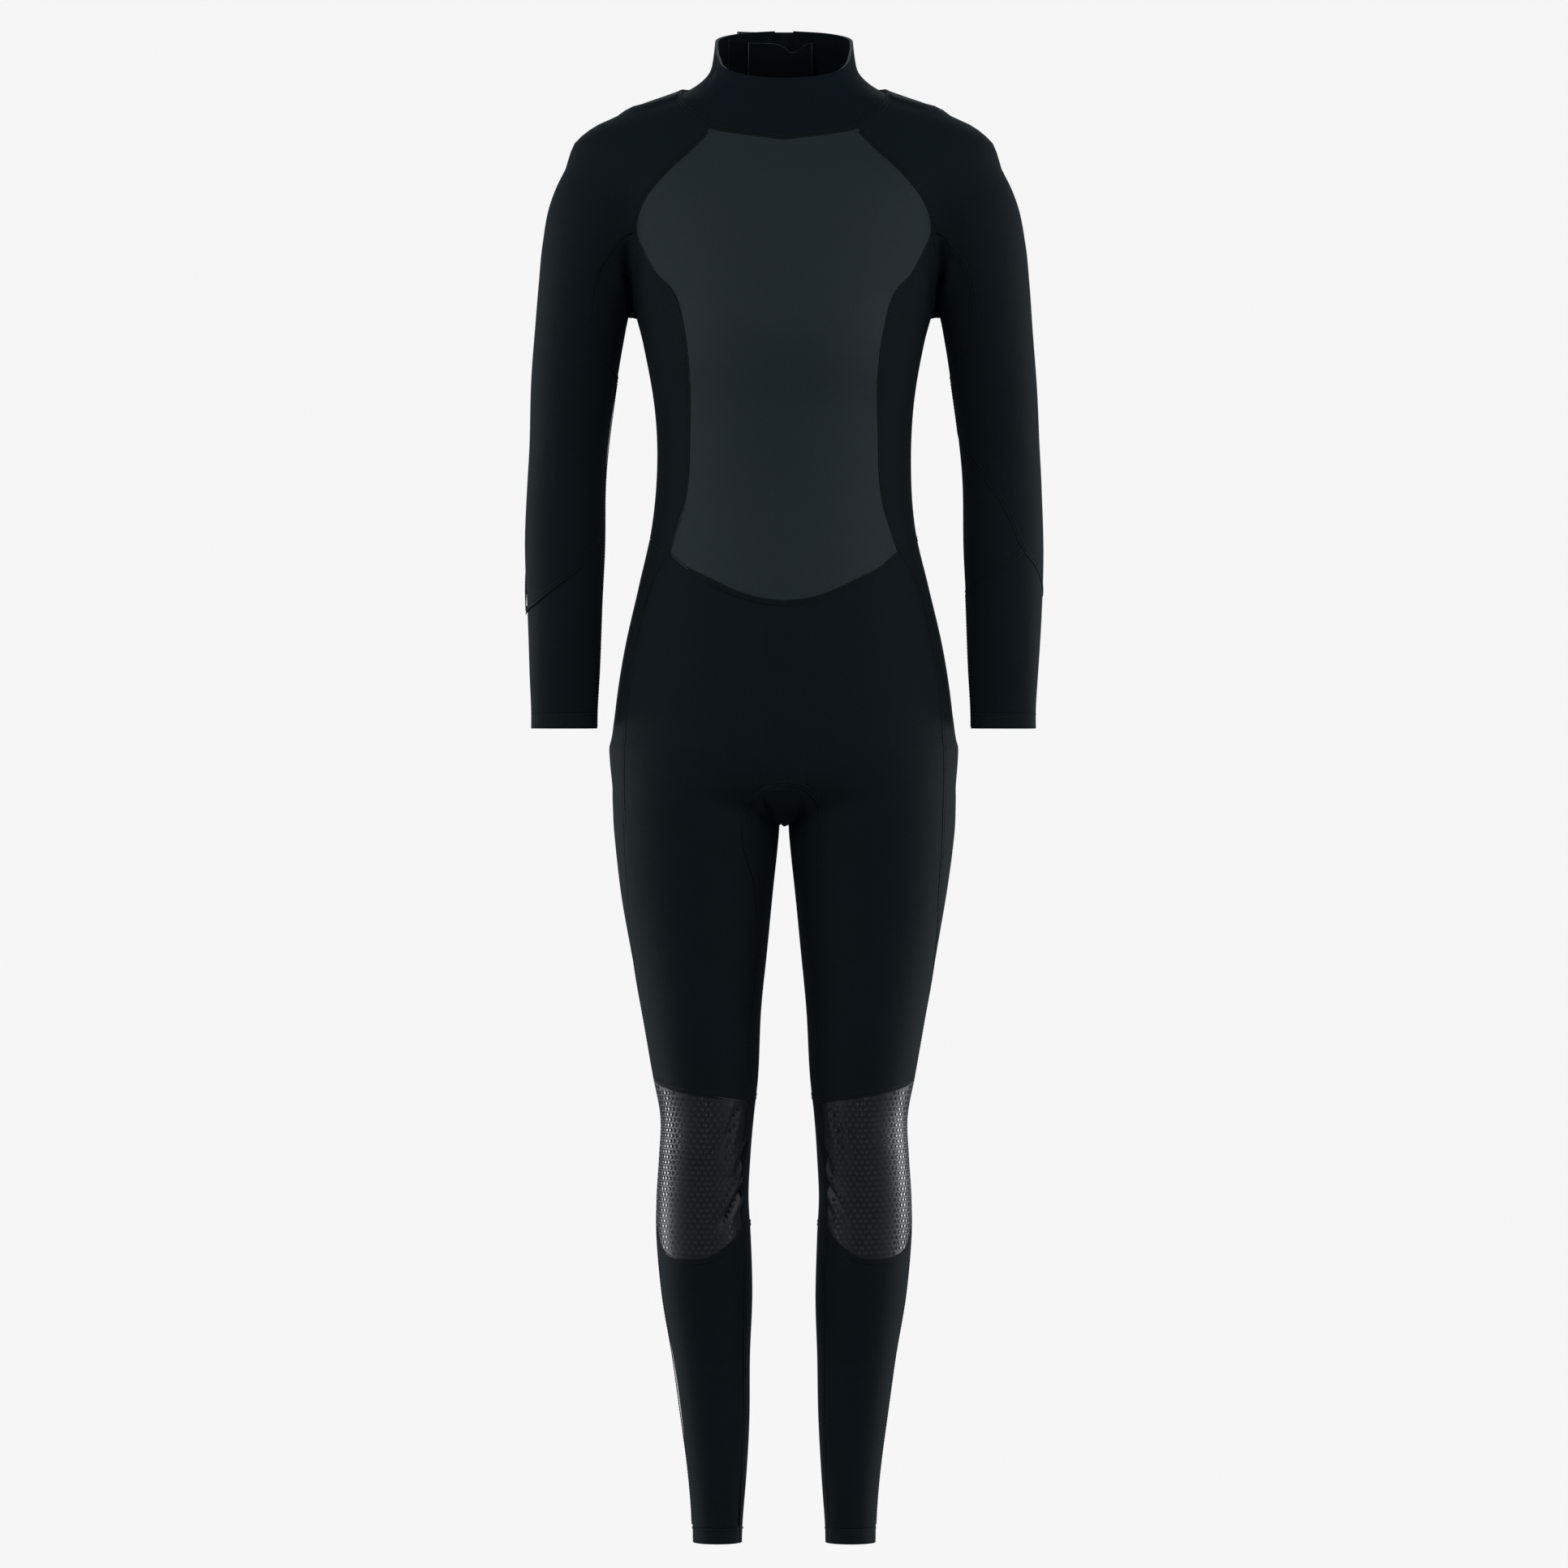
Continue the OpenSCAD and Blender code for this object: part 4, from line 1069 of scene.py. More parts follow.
def knit_group() -> bpy.types.NodeTree:
    """Jersey knit: rows of small loops, from a UV map in metres, with painted shade in the gaps between loops."""
    tree, start, end = effect_group("knit", {"Pitch": 0.0011}, ("Height", "Hollow Shade"))
    g = Graph(tree)
    split = g.add("ShaderNodeSeparateXYZ")
    g.link(start.outputs["Vector"], split.inputs[0])
    k = g.math("DIVIDE", 2 * math.pi, start.outputs["Pitch"])
    u = g.math("MULTIPLY", split.outputs["X"], k)
    v = g.math("MULTIPLY", g.math("MULTIPLY", split.outputs["Y"], k), 0.72)
    lean = g.math("MULTIPLY", g.math("SINE", u), 1.3)
    wale = g.math("ABSOLUTE", g.math("COSINE", g.math("MULTIPLY", u, 0.5)))
    loop = g.math("MULTIPLY_ADD", g.math("SINE", g.math("ADD", v, lean)), 0.35)
    loop.node.inputs[2].default_value = 0.5
    noise = g.add("ShaderNodeTexNoise", Scale=260.0, Detail=3.0, Roughness=0.6)
    g.link(start.outputs["Vector"], noise.inputs["Vector"])
    height = g.math("ADD", g.math("MULTIPLY", wale, loop), g.math("MULTIPLY", noise.outputs["Fac"], 0.25))
    g.link(height, end.inputs["Height"])
    # The gaps between loops are painted darker: painted shade in the knit's hollows.
    g.link(g.math("MULTIPLY", wale, loop), end.inputs["Hollow Shade"])
    return tree


def emboss_group() -> bpy.types.NodeTree:
    """Fine cells pressed into a rubber skin, with painted shade in the grooves at the cell edges."""
    tree, start, end = effect_group("emboss", {"Scale": 620.0}, ("Height", "Hollow Shade"))
    g = Graph(tree)
    cells = g.add("ShaderNodeTexVoronoi", feature="DISTANCE_TO_EDGE", Randomness=0.25)
    g.link(start.outputs["Vector"], cells.inputs["Vector"])
    g.link(start.outputs["Scale"], cells.inputs["Scale"])
    low = g.math("MINIMUM", g.math("MULTIPLY", cells.outputs["Distance"], 6.0), 1.0)
    g.link(low, end.inputs["Height"])
    # The grooves at the cell edges are painted darker: painted shade in the pressed cells.
    g.link(low, end.inputs["Hollow Shade"])
    return tree


def wear_group() -> bpy.types.NodeTree:
    """Broad, faint unevenness and a little lint."""
    tree, start, end = effect_group("wear", {"Scale": 9.0}, ("Broad", "Lint"))
    g = Graph(tree)
    broad = g.add("ShaderNodeTexNoise", Detail=3.0, Roughness=0.55)
    g.link(start.outputs["Vector"], broad.inputs["Vector"])
    g.link(start.outputs["Scale"], broad.inputs["Scale"])
    lint = g.add("ShaderNodeTexNoise", Scale=420.0, Detail=2.0, Roughness=0.7)
    g.link(start.outputs["Vector"], lint.inputs["Vector"])
    g.link(broad.outputs["Fac"], end.inputs["Broad"])
    g.link(g.math("GREATER_THAN", lint.outputs["Fac"], 0.73), end.inputs["Lint"])
    return tree


class Texture(Enum):
    """The fine structure that a cloth or skin shows close to."""

    KNIT = "knit"
    EMBOSS = "emboss"


@dataclass
class Effects:
    """The node groups that the finishes share."""

    knit: bpy.types.NodeTree = field(default_factory=knit_group)
    emboss: bpy.types.NodeTree = field(default_factory=emboss_group)
    wear: bpy.types.NodeTree = field(default_factory=wear_group)

    def group(self, g: Graph, tree: bpy.types.NodeTree, **values: float) -> bpy.types.Node:
        """A group node of one of the effects, on the piece's own UV map."""
        node = g.add("ShaderNodeGroup")
        node.node_tree = tree
        for key, value in values.items():
            node.inputs[key].default_value = value
        uv = g.add("ShaderNodeUVMap")
        g.link(uv.outputs["UV"], node.inputs["Vector"])
        return node


@dataclass(frozen=True)
class Cloth:
    """A finish of knitted or pressed sheet."""

    name: str
    colour: tuple[float, float, float]
    roughness: float = 0.8
    specular: float = 0.06
    sheen: float = 0.02
    texture: Texture = Texture.KNIT
    pitch: float = 0.0011
    depth: float = 0.00012

    def build(self, effects: Effects) -> bpy.types.Material:
        """Makes the material."""
        material = bpy.data.materials.new(self.name)
        material.use_nodes = True
        g = Graph(material.node_tree)
        shader = material.node_tree.nodes["Principled BSDF"]
        shader.inputs["Specular IOR Level"].default_value = self.specular
        shader.inputs["Sheen Weight"].default_value = self.sheen
        shader.inputs["Sheen Roughness"].default_value = 0.5
        shader.inputs["Sheen Tint"].default_value = (0.55, 0.8, 1.0, 1.0)
        if self.texture is Texture.KNIT:
            fine = effects.group(g, effects.knit, Pitch=self.pitch)
        else:
            fine = effects.group(g, effects.emboss, Scale=1 / self.pitch)
        wear = effects.group(g, effects.wear)
        broad = g.math("MULTIPLY", wear.outputs["Broad"], 0.5)
        # Colour runs darker in the texture's hollows as painted shade, with random broad mottling and a little lint.
        hollow_shade_and_mottle = g.math("ADD", g.math("MULTIPLY", fine.outputs["Hollow Shade"], 0.35), broad)
        hollow_shade_and_mottle = g.math("ADD", hollow_shade_and_mottle, g.math("MULTIPLY", wear.outputs["Lint"], 0.25))
        ramp = g.add("ShaderNodeMix", data_type="RGBA")
        ramp.inputs["A"].default_value = (*[c * 0.7 for c in self.colour], 1.0)
        ramp.inputs["B"].default_value = (*[c * 1.45 for c in self.colour], 1.0)
        g.link(hollow_shade_and_mottle, ramp.inputs["Factor"])
        g.link(ramp.outputs["Result"], shader.inputs["Base Color"])
        rough = g.math("ADD", self.roughness - 0.04, g.math("MULTIPLY", wear.outputs["Broad"], 0.08))
        g.link(rough, shader.inputs["Roughness"])
        bump = g.add("ShaderNodeBump", Strength=0.6, Distance=self.depth)
        g.link(fine.outputs["Height"], bump.inputs["Height"])
        g.link(bump.outputs["Normal"], shader.inputs["Normal"])
        return material


@dataclass(frozen=True)
class Plastic:
    """A finish of moulded plastic, rubber or enamel."""

    name: str
    colour: tuple[float, float, float]
    roughness: float = 0.4
    specular: float = 0.5
    coat: float = 0.0
    metal: float = 0.0
    grain: float = 0.00002

    def build(self, effects: Effects) -> bpy.types.Material:
        """Makes the material."""
        material = bpy.data.materials.new(self.name)
        material.use_nodes = True
        g = Graph(material.node_tree)
        shader = material.node_tree.nodes["Principled BSDF"]
        shader.inputs["Base Color"].default_value = (*self.colour, 1.0)
        shader.inputs["Specular IOR Level"].default_value = self.specular
        shader.inputs["Coat Weight"].default_value = self.coat
        shader.inputs["Coat Roughness"].default_value = 0.25
        shader.inputs["Metallic"].default_value = self.metal
        coords = g.add("ShaderNodeTexCoord")
        noise = g.add("ShaderNodeTexNoise", Scale=900.0, Detail=3.0)
        g.link(coords.outputs["Object"], noise.inputs["Vector"])
        rough = g.math("ADD", self.roughness - 0.06, g.math("MULTIPLY", noise.outputs["Fac"], 0.12))
        g.link(rough, shader.inputs["Roughness"])
        bump = g.add("ShaderNodeBump", Strength=0.4, Distance=self.grain)
        g.link(noise.outputs["Fac"], bump.inputs["Height"])
        g.link(bump.outputs["Normal"], shader.inputs["Normal"])
        return material


@dataclass
class Finishes:
    """Every material of the suit."""

    effects: Effects = field(default_factory=Effects)

    def __post_init__(self) -> None:
        """Builds the materials from their finishes."""
        emboss = Texture.EMBOSS
        self.jersey = self._cloth("black_jersey", (0.0042, 0.0079, 0.0098))
        self.chest = self._cloth(
            "mesh_skin_neoprene", (0.0125, 0.0192, 0.0220), roughness=0.62, specular=0.13, sheen=0.03,
            texture=emboss, pitch=0.0019, depth=0.00022,
        )
        self.hems = self._cloth("hem_jersey", (0.0050, 0.0086, 0.0104))
        self.collar = self._cloth("collar_jersey", (0.0036, 0.0072, 0.0100), roughness=0.82)
        # The lining's colour is darker than the jersey: painted shade of the suit's inside and cut edges.
        self.shaded_lining = self._cloth("shaded_lining", (0.0016, 0.0044, 0.0052), roughness=0.85, specular=0.05)
        # The seam band is real, but its colour is darker than the jersey as painted shade of the grooves beside the
        # seams.
        self.band = self._cloth(
            "shaded_seam_band", (0.0030, 0.0060, 0.0074), roughness=0.75, specular=0.08, pitch=0.0008, depth=0.0002
        )
        self.foam = self._cloth(
            "cut_foam", (0.060, 0.070, 0.074), roughness=0.85, specular=0.1, texture=emboss, pitch=0.0007,
            depth=0.0001,
        )
        self.pad = self._cloth(
            "pad_ground", (0.0034, 0.0066, 0.0078), roughness=0.45, specular=0.3, depth=0.0001
        )
        self.thread = self._cloth(
            "thread", (0.0052, 0.0092, 0.0110), roughness=0.7, specular=0.1, sheen=0.03, pitch=0.0006,
            depth=0.00005,
        )
        self.tape = self._cloth(
            "zip_tape", (0.0050, 0.0070, 0.0080), roughness=0.75, specular=0.15, sheen=0.05, pitch=0.0009,
            depth=0.00015,
        )
        self.hook = self._cloth(
            "hook_tape", (0.0060, 0.0062, 0.0066), roughness=0.55, specular=0.4, sheen=0.0, texture=emboss,
            pitch=0.0016, depth=0.0004,
        )
        self.loop = self._cloth(
            "loop_tape", (0.0095, 0.0100, 0.0108), roughness=0.95, specular=0.1, sheen=0.3, texture=emboss,
            pitch=0.0008, depth=0.0004,
        )
        self.dots = self._plastic("printed_rubber", (0.0050, 0.0098, 0.0112), roughness=0.24, coat=0.25)
        self.plastic = self._plastic("zip_plastic", (0.0100, 0.0110, 0.0120), roughness=0.38)
        self.enamel = self._plastic(
            "slider_finish", (0.0140, 0.0150, 0.0160), roughness=0.3, specular=0.6, coat=0.4, metal=0.3
        )
        self.tab = self._plastic("pull_tab_plastic", (0.0130, 0.0140, 0.0150), roughness=0.42)

    def _cloth(self, name: str, colour: tuple[float, float, float], **values: object) -> bpy.types.Material:
        """The material of a cloth with some of its values."""
        return Cloth(name, colour, **values).build(self.effects)

    def _plastic(self, name: str, colour: tuple[float, float, float], **values: object) -> bpy.types.Material:
        """The material of a plastic with some of its values."""
        return Plastic(name, colour, **values).build(self.effects)


# ---------------------------------------------------------------- the suit's pieces


@dataclass
class Kit:
    """What every sub-assembly is built with."""

    form: Form
    pattern: Pattern
    drape: Drape
    place: Place
    finishes: Finishes

    def both(self, grid: Array, side: Side) -> Array:
        """A left-hand grid, or its mirror image for the right."""
        return grid * np.array([side.value, 1, 1])

    def stitches(self, bm: bmesh.types.BMesh, points: Array, run: Array, up: Array, size: Sequence[float]) -> None:
        """Adds one small block of thread at each point.

        Args:
            bm: The mesh that takes the blocks.
            points: Middles of the stitches in millimetres.
            run: Directions along the thread.
            up: Directions off the cloth.
            size: Length, width and height of a stitch in millimetres.
        """
        for p, r, u in zip(points, run, up):
            frame = Matrix((r, np.cross(u, r), u)).transposed() @ Matrix.Diagonal([v / 1000 for v in size])
            bmesh.ops.create_cube(bm, size=1.0, matrix=Matrix.Translation(self.place.metres(p)) @ frame.to_4x4())


@dataclass
class Panels:
    """The neoprene panels."""

    kit: Kit
    thickness: float = 3.0

    def panel(self, node: str, grid: Array, *materials: bpy.types.Material) -> bpy.types.Object:
        """One panel: its grid laid in folds, thickened, and standing for its CAD node.

        Args:
            node: The CAD node's name.
            grid: Points on the form.
            *materials: Face, inner face, and cut edge.

        Returns:
            The panel's object.
        """
        kit = self.kit
        normal = kit.form.normal(grid)
        obj = grid_mesh(node + "_cloth", kit.drape.lay(grid), kit.place, normal)
        return self._finish(obj, node, materials)

    def _finish(
        self, obj: bpy.types.Object, node: str, materials: Sequence[bpy.types.Material]
    ) -> bpy.types.Object:
        """Thickness, materials, and the panel's place in the frame."""
        dressed(obj, *materials)
        thicken(obj, self.thickness, rim=len(materials) - 1, inside=1 if len(materials) > 1 else 0)
        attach(obj, "suit")
        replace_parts(obj, node)
        return obj

    def halves(self, node: str, rear: bool) -> bpy.types.Object:
        """The front panel of belly and thighs, or the seat panel, from its three joined grids."""
        kit = self.kit
        parts = kit.pattern.lower(rear)
        objects = []
        for k, grid in enumerate(parts):
            objects.append(grid_mesh(f"{node}_{k}", kit.drape.lay(grid), kit.place, kit.form.normal(grid)))
        bm = bmesh.new()
        for obj in objects:
            bm.from_mesh(obj.data)
        bmesh.ops.remove_doubles(bm, verts=bm.verts, dist=2.0e-4)
        for obj in objects:
            mesh = obj.data
            bpy.data.objects.remove(obj)
            bpy.data.meshes.remove(mesh)
        obj = new_object(node + "_cloth", bm)
        return self._finish(obj, node, (kit.finishes.jersey, kit.finishes.shaded_lining, kit.finishes.shaded_lining))

    def build(self) -> None:
        """Builds every panel."""
        kit, pattern, fin = self.kit, self.kit.pattern, self.kit.finishes
        cloth = (fin.jersey, fin.shaded_lining, fin.shaded_lining)
        self.panel("chest_panel", pattern.chest(), fin.chest, fin.shaded_lining, fin.shaded_lining)
        self.halves("front_lower_panel", False)
        self.halves("seat_panel", True)
        self.panel("crotch_gusset", pattern.gusset(), *cloth)
        shapes = {
            "side_panel": pattern.side(), "back_panel": pattern.back(), "underarm_gusset": pattern.underarm_gusset(),
            "knee_back_panel": pattern.knee_back(), "shin_panel": pattern.shin(), "calf_panel": pattern.calf(),
        }
        hems = {"wrist_hem": pattern.wrist_hem(), "ankle_hem": pattern.ankle_hem()}
        for side in Side:
            for name, grid in shapes.items():
                self.panel(f"{side.word}_{name}", kit.both(grid, side), *cloth)
            for name, grid in hems.items():
                self.panel(f"{side.word}_{name}", kit.both(grid, side), fin.hems, fin.shaded_lining, fin.foam)
            self.panel(f"{side.word}_raglan_sleeve", kit.both(pattern.sleeve(side), side), *cloth)
            self.panel(f"{side.word}_elbow_panel", kit.both(pattern.elbow(side), side), *cloth)
            self.panel(f"{side.word}_forearm_panel", kit.both(pattern.forearm(side), side), *cloth)
            self.panel(f"{side.word}_knee_pad", kit.both(pattern.knee_pad(), side), fin.pad, fin.shaded_lining, fin.shaded_lining)
        self.panel("collar", pattern.collar(), fin.collar, fin.shaded_lining, fin.foam)


@dataclass
class Seams:
    """Flat-stitched bands over the joins between panels, with their rows of thread."""

    kit: Kit
    width: float = 5.4
    height: float = 0.4
    stitch: float = 3.0
    rows: tuple[float, ...] = (-1.75, 1.75)

    def lines(self) -> dict[str, Array]:
        """Every join of the left half, and those across the middle, as points on the form."""
        p, f = self.kit.pattern, self.kit.form
        out: dict[str, Array] = {}
        i = np.linspace(0, 12.8, 170)
        x, z = at_station(p.chest_edge, i)
        out["front_raglan"] = f.face(x, z, Face.FRONT)
        x, z = at_station(p.back_edge, i)
        out["back_raglan"] = f.face(x, z, Face.REAR)
        x = np.linspace(0, 110, 40)
        out["chest_hem"] = f.face(x, along(p.chest_hem, x), Face.FRONT)
        x = np.linspace(9, 116, 40)
        out["back_hem"] = f.face(x, along(p.back_hem, x), Face.REAR)
        out["side_hem"] = p.side_row(np.zeros(36), np.linspace(0, 1, 36))
        z = np.linspace(945, p.hip_low, 110)
        high = f.face(along(p.hip_seam, z), z, Face.FRONT)
        z = np.linspace(p.hip_low - 3, p.thigh_low, 46)
        mid = f.leg(p.hip_angle(z), z)
        z = np.linspace(p.thigh_low - 3, p.hem + 2, 150)
        q = np.interp(z, [446, p.thigh_low], [4, float(p.hip_angle(np.array(p.thigh_low)))])
        out["outer_leg"] = np.concatenate([high, mid, f.leg(q, z)])
        z = np.linspace(p.gusset_top, p.thigh_low, 80)
        for face, name in ((Face.FRONT, "gusset_front"), (Face.REAR, "gusset_rear")):
            x = np.linspace(0, 19, 8)
            top = f.face(x, p.arch(x), face)
            sides = f.face(along(p.gusset_seam, z), z, face)
            q0 = float(p.gusset_angle(np.array(p.thigh_low), face))
            k = np.linspace(0.06, 1, 18)
            qe = 140.0 if face is Face.FRONT else -140.0
            ze = along(p.pad_top, np.array(qe)) if face is Face.FRONT else p.knee_back_top(qe)
            out[name] = np.concatenate([top, sides, f.leg(mix(q0, qe, k), mix(p.thigh_low, float(ze), k))])
        q = np.linspace(4, 140, 50)
        out["pad_top"] = f.leg(q, along(p.pad_top, q))
        out["pad_base"] = f.leg(q, along(p.pad_base, q))
        q = np.linspace(4, -220, 70)
        out["knee_back_top"] = f.leg(q, p.knee_back_top(q))
        out["knee_back_base"] = f.leg(q, p.knee_back_base(q))
        z = np.linspace(423, p.hem + 2, 130)
        out["inner_leg"] = f.leg(140.0 + 0 * z, z)
        t = np.linspace(0.012, 0.988, 64)
        q, z = p.underarm_at(t * 8)
        out["underarm_sleeve"] = f.arm(q, z)
        out["underarm_side"] = p.side_row(8 + 0 * t, t)
        return out

    def arm_lines(self, side: Side) -> dict[str, Array]:
        """The joins of one sleeve, drawn on the left arm."""
        p, f = self.kit.pattern, self.kit.form
        q = np.linspace(178, 1, 50)
        out = {"elbow_top_front": f.arm(q, p.upper(side, q)), "elbow_top_rear": f.arm(-q, p.upper(side, -q))}
        q = np.linspace(66, 294, 60) if side is Side.LEFT else np.linspace(-178, -2, 50)
        w = np.where(q > 180, q - 360, q)
        out["elbow_base"] = f.arm(q, p.lower_edge(side, w))
        top = float(p.upper(side, np.array(180.0)))
        z = np.linspace(p.sleeve_ring, top, 30)
        out["sleeve_seam"] = f.arm(180.0 + 0 * z, z)
        z = np.linspace(float(p.lower_edge(side, np.array(180.0))), p.wrist + 2, 40)
        out["forearm_seam"] = f.arm(180.0 + 0 * z, z)
        return out

    def band(self, name: str, line: Array, side: Side) -> None:
        """One band along a line, and its stitches."""
        kit = self.kit
        steps = np.linalg.norm(np.diff(line, axis=0), axis=1)
        keep = np.concatenate([[True], steps > 1e-3])
        line = line[keep]
        length = np.concatenate([[0], np.cumsum(np.linalg.norm(np.diff(line, axis=0), axis=1))])
        n = max(8, int(length[-1] / 3.4))
        s = np.linspace(0, length[-1], n)
        line = np.stack([np.interp(s, length, c) for c in line.T], 1)
        for _ in range(4):
            line[1:-1] = (line[:-2] + 2 * line[1:-1] + line[2:]) / 4
        line = kit.form.settle(line, 3)
        normal = kit.form.normal(line)
        run = unit(np.gradient(line, axis=0))
        across = unit(np.cross(run, normal))
        half = self.width / 2
        offsets = np.array([-1, -0.96, -0.66, -0.4, 0, 0.4, 0.66, 0.96, 1]) * half
        lifts = np.array([-0.35, 0.3, 1.0, 0.72, 0.6, 0.72, 1.0, 0.3, -0.35]) * self.height
        grid = kit.form.settle(line[:, None] + across[:, None] * offsets[None, :, None], 2)
        laid = kit.drape.lay(grid, lifts[None, :] + 0 * grid[..., 0])
        obj = grid_mesh(name, kit.both(laid, side), kit.place, kit.both(kit.form.normal(grid), side))
        dressed(obj, kit.finishes.band)
        thicken(obj, 0.6)
        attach(obj, "suit")
        self._stitches(name + "_thread", line, across, normal, length[-1], side)

    def _stitches(self, name: str, line: Array, across: Array, normal: Array, length: float, side: Side) -> None:
        """Rows of stitches along a band."""
        kit = self.kit
        count_of = max(2, int(length / self.stitch))
        at = (np.arange(count_of) + 0.5) / count_of * (len(line) - 1)
        base, side_way, up = (
            np.stack([np.interp(at, np.arange(len(v)), c) for c in v.T], 1) for v in (line, across, normal)
        )
        side_way, up = unit(side_way), unit(up)
        bm = bmesh.new()
        for row in self.rows:
            points = kit.form.settle(base + side_way * row, 2)
            laid = kit.drape.lay(points, self.height * 0.95)
            run = unit(np.cross(up, side_way))
            size = (self.stitch * 0.74, 0.55, 0.42)
            kit.stitches(bm, kit.both(laid, side), kit.both(run, side), kit.both(up, side), size)
        for f in bm.faces:
            f.smooth = True
        bm.loops.layers.uv.new("UVMap")
        obj = dressed(new_object(name, bm), kit.finishes.thread)
        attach(obj, "suit")

    def build(self) -> None:
        """Builds all bands."""
        kit = self.kit
        for side in Side:
            for name, line in {**self.lines(), **self.arm_lines(side)}.items():
                self.band(f"{side.word}_{name}_seam", line, side)
        q = np.linspace(-170.5, 170.5, 150)
        self.band("collar_seam", kit.form.girth(q, along(kit.pattern.collar_seam, np.abs(q))), Side.LEFT)


@dataclass
class KneeDots:
    """Raised rubber dots printed on the knee pads, in offset rows."""

    kit: Kit
    pitch: float = 5.9
    row_pitch: float = 5.1
    radius: float = 2.25
    height: float = 0.75
    margin: float = 4.6

    def build(self) -> None:
        """Prints both pads."""
        kit, p = self.kit, self.kit.pattern
        spots, row = [], 0
        z = 268.0
        while z < 446:
            x = 20.0 + (self.pitch / 2 if row % 2 else 0)
            while x < 135:
                spots.append((x, z))
                x += self.pitch
            z += self.row_pitch
            row += 1
        at = np.array(spots)
        reach = float(np.radians(1.0)) * 52
        q = 4 + (at[:, 0] - 20.0) / reach
        z = at[:, 1]
        q = q[(z > 0)]
        top, base = along(p.pad_top, q), along(p.pad_base, q)
        inside = (q > 4 + self.margin / reach) & (q < 140 - self.margin / reach)
        inside &= (z < top - self.margin) & (z > base + self.margin)
        points = kit.form.leg(q[inside], z[inside])
        normal = kit.form.normal(points)
        laid = kit.drape.lay(points, self.height * 0.42)
        for side in Side:
            bm = bmesh.new()
            for spot, up in zip(kit.both(laid, side), kit.both(normal, side)):
                turn = Vector(up).to_track_quat("Z", "Y").to_matrix().to_4x4()
                bmesh.ops.create_cone(
                    bm, cap_ends=True, segments=6, radius1=self.radius / 1000, radius2=self.radius * 0.62 / 1000,
                    depth=self.height / 1000, matrix=Matrix.Translation(kit.place.metres(spot)) @ turn,
                )
            obj = dressed(new_object(f"{side.word}_pad_dots", bm), kit.finishes.dots)
            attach(obj, "suit")


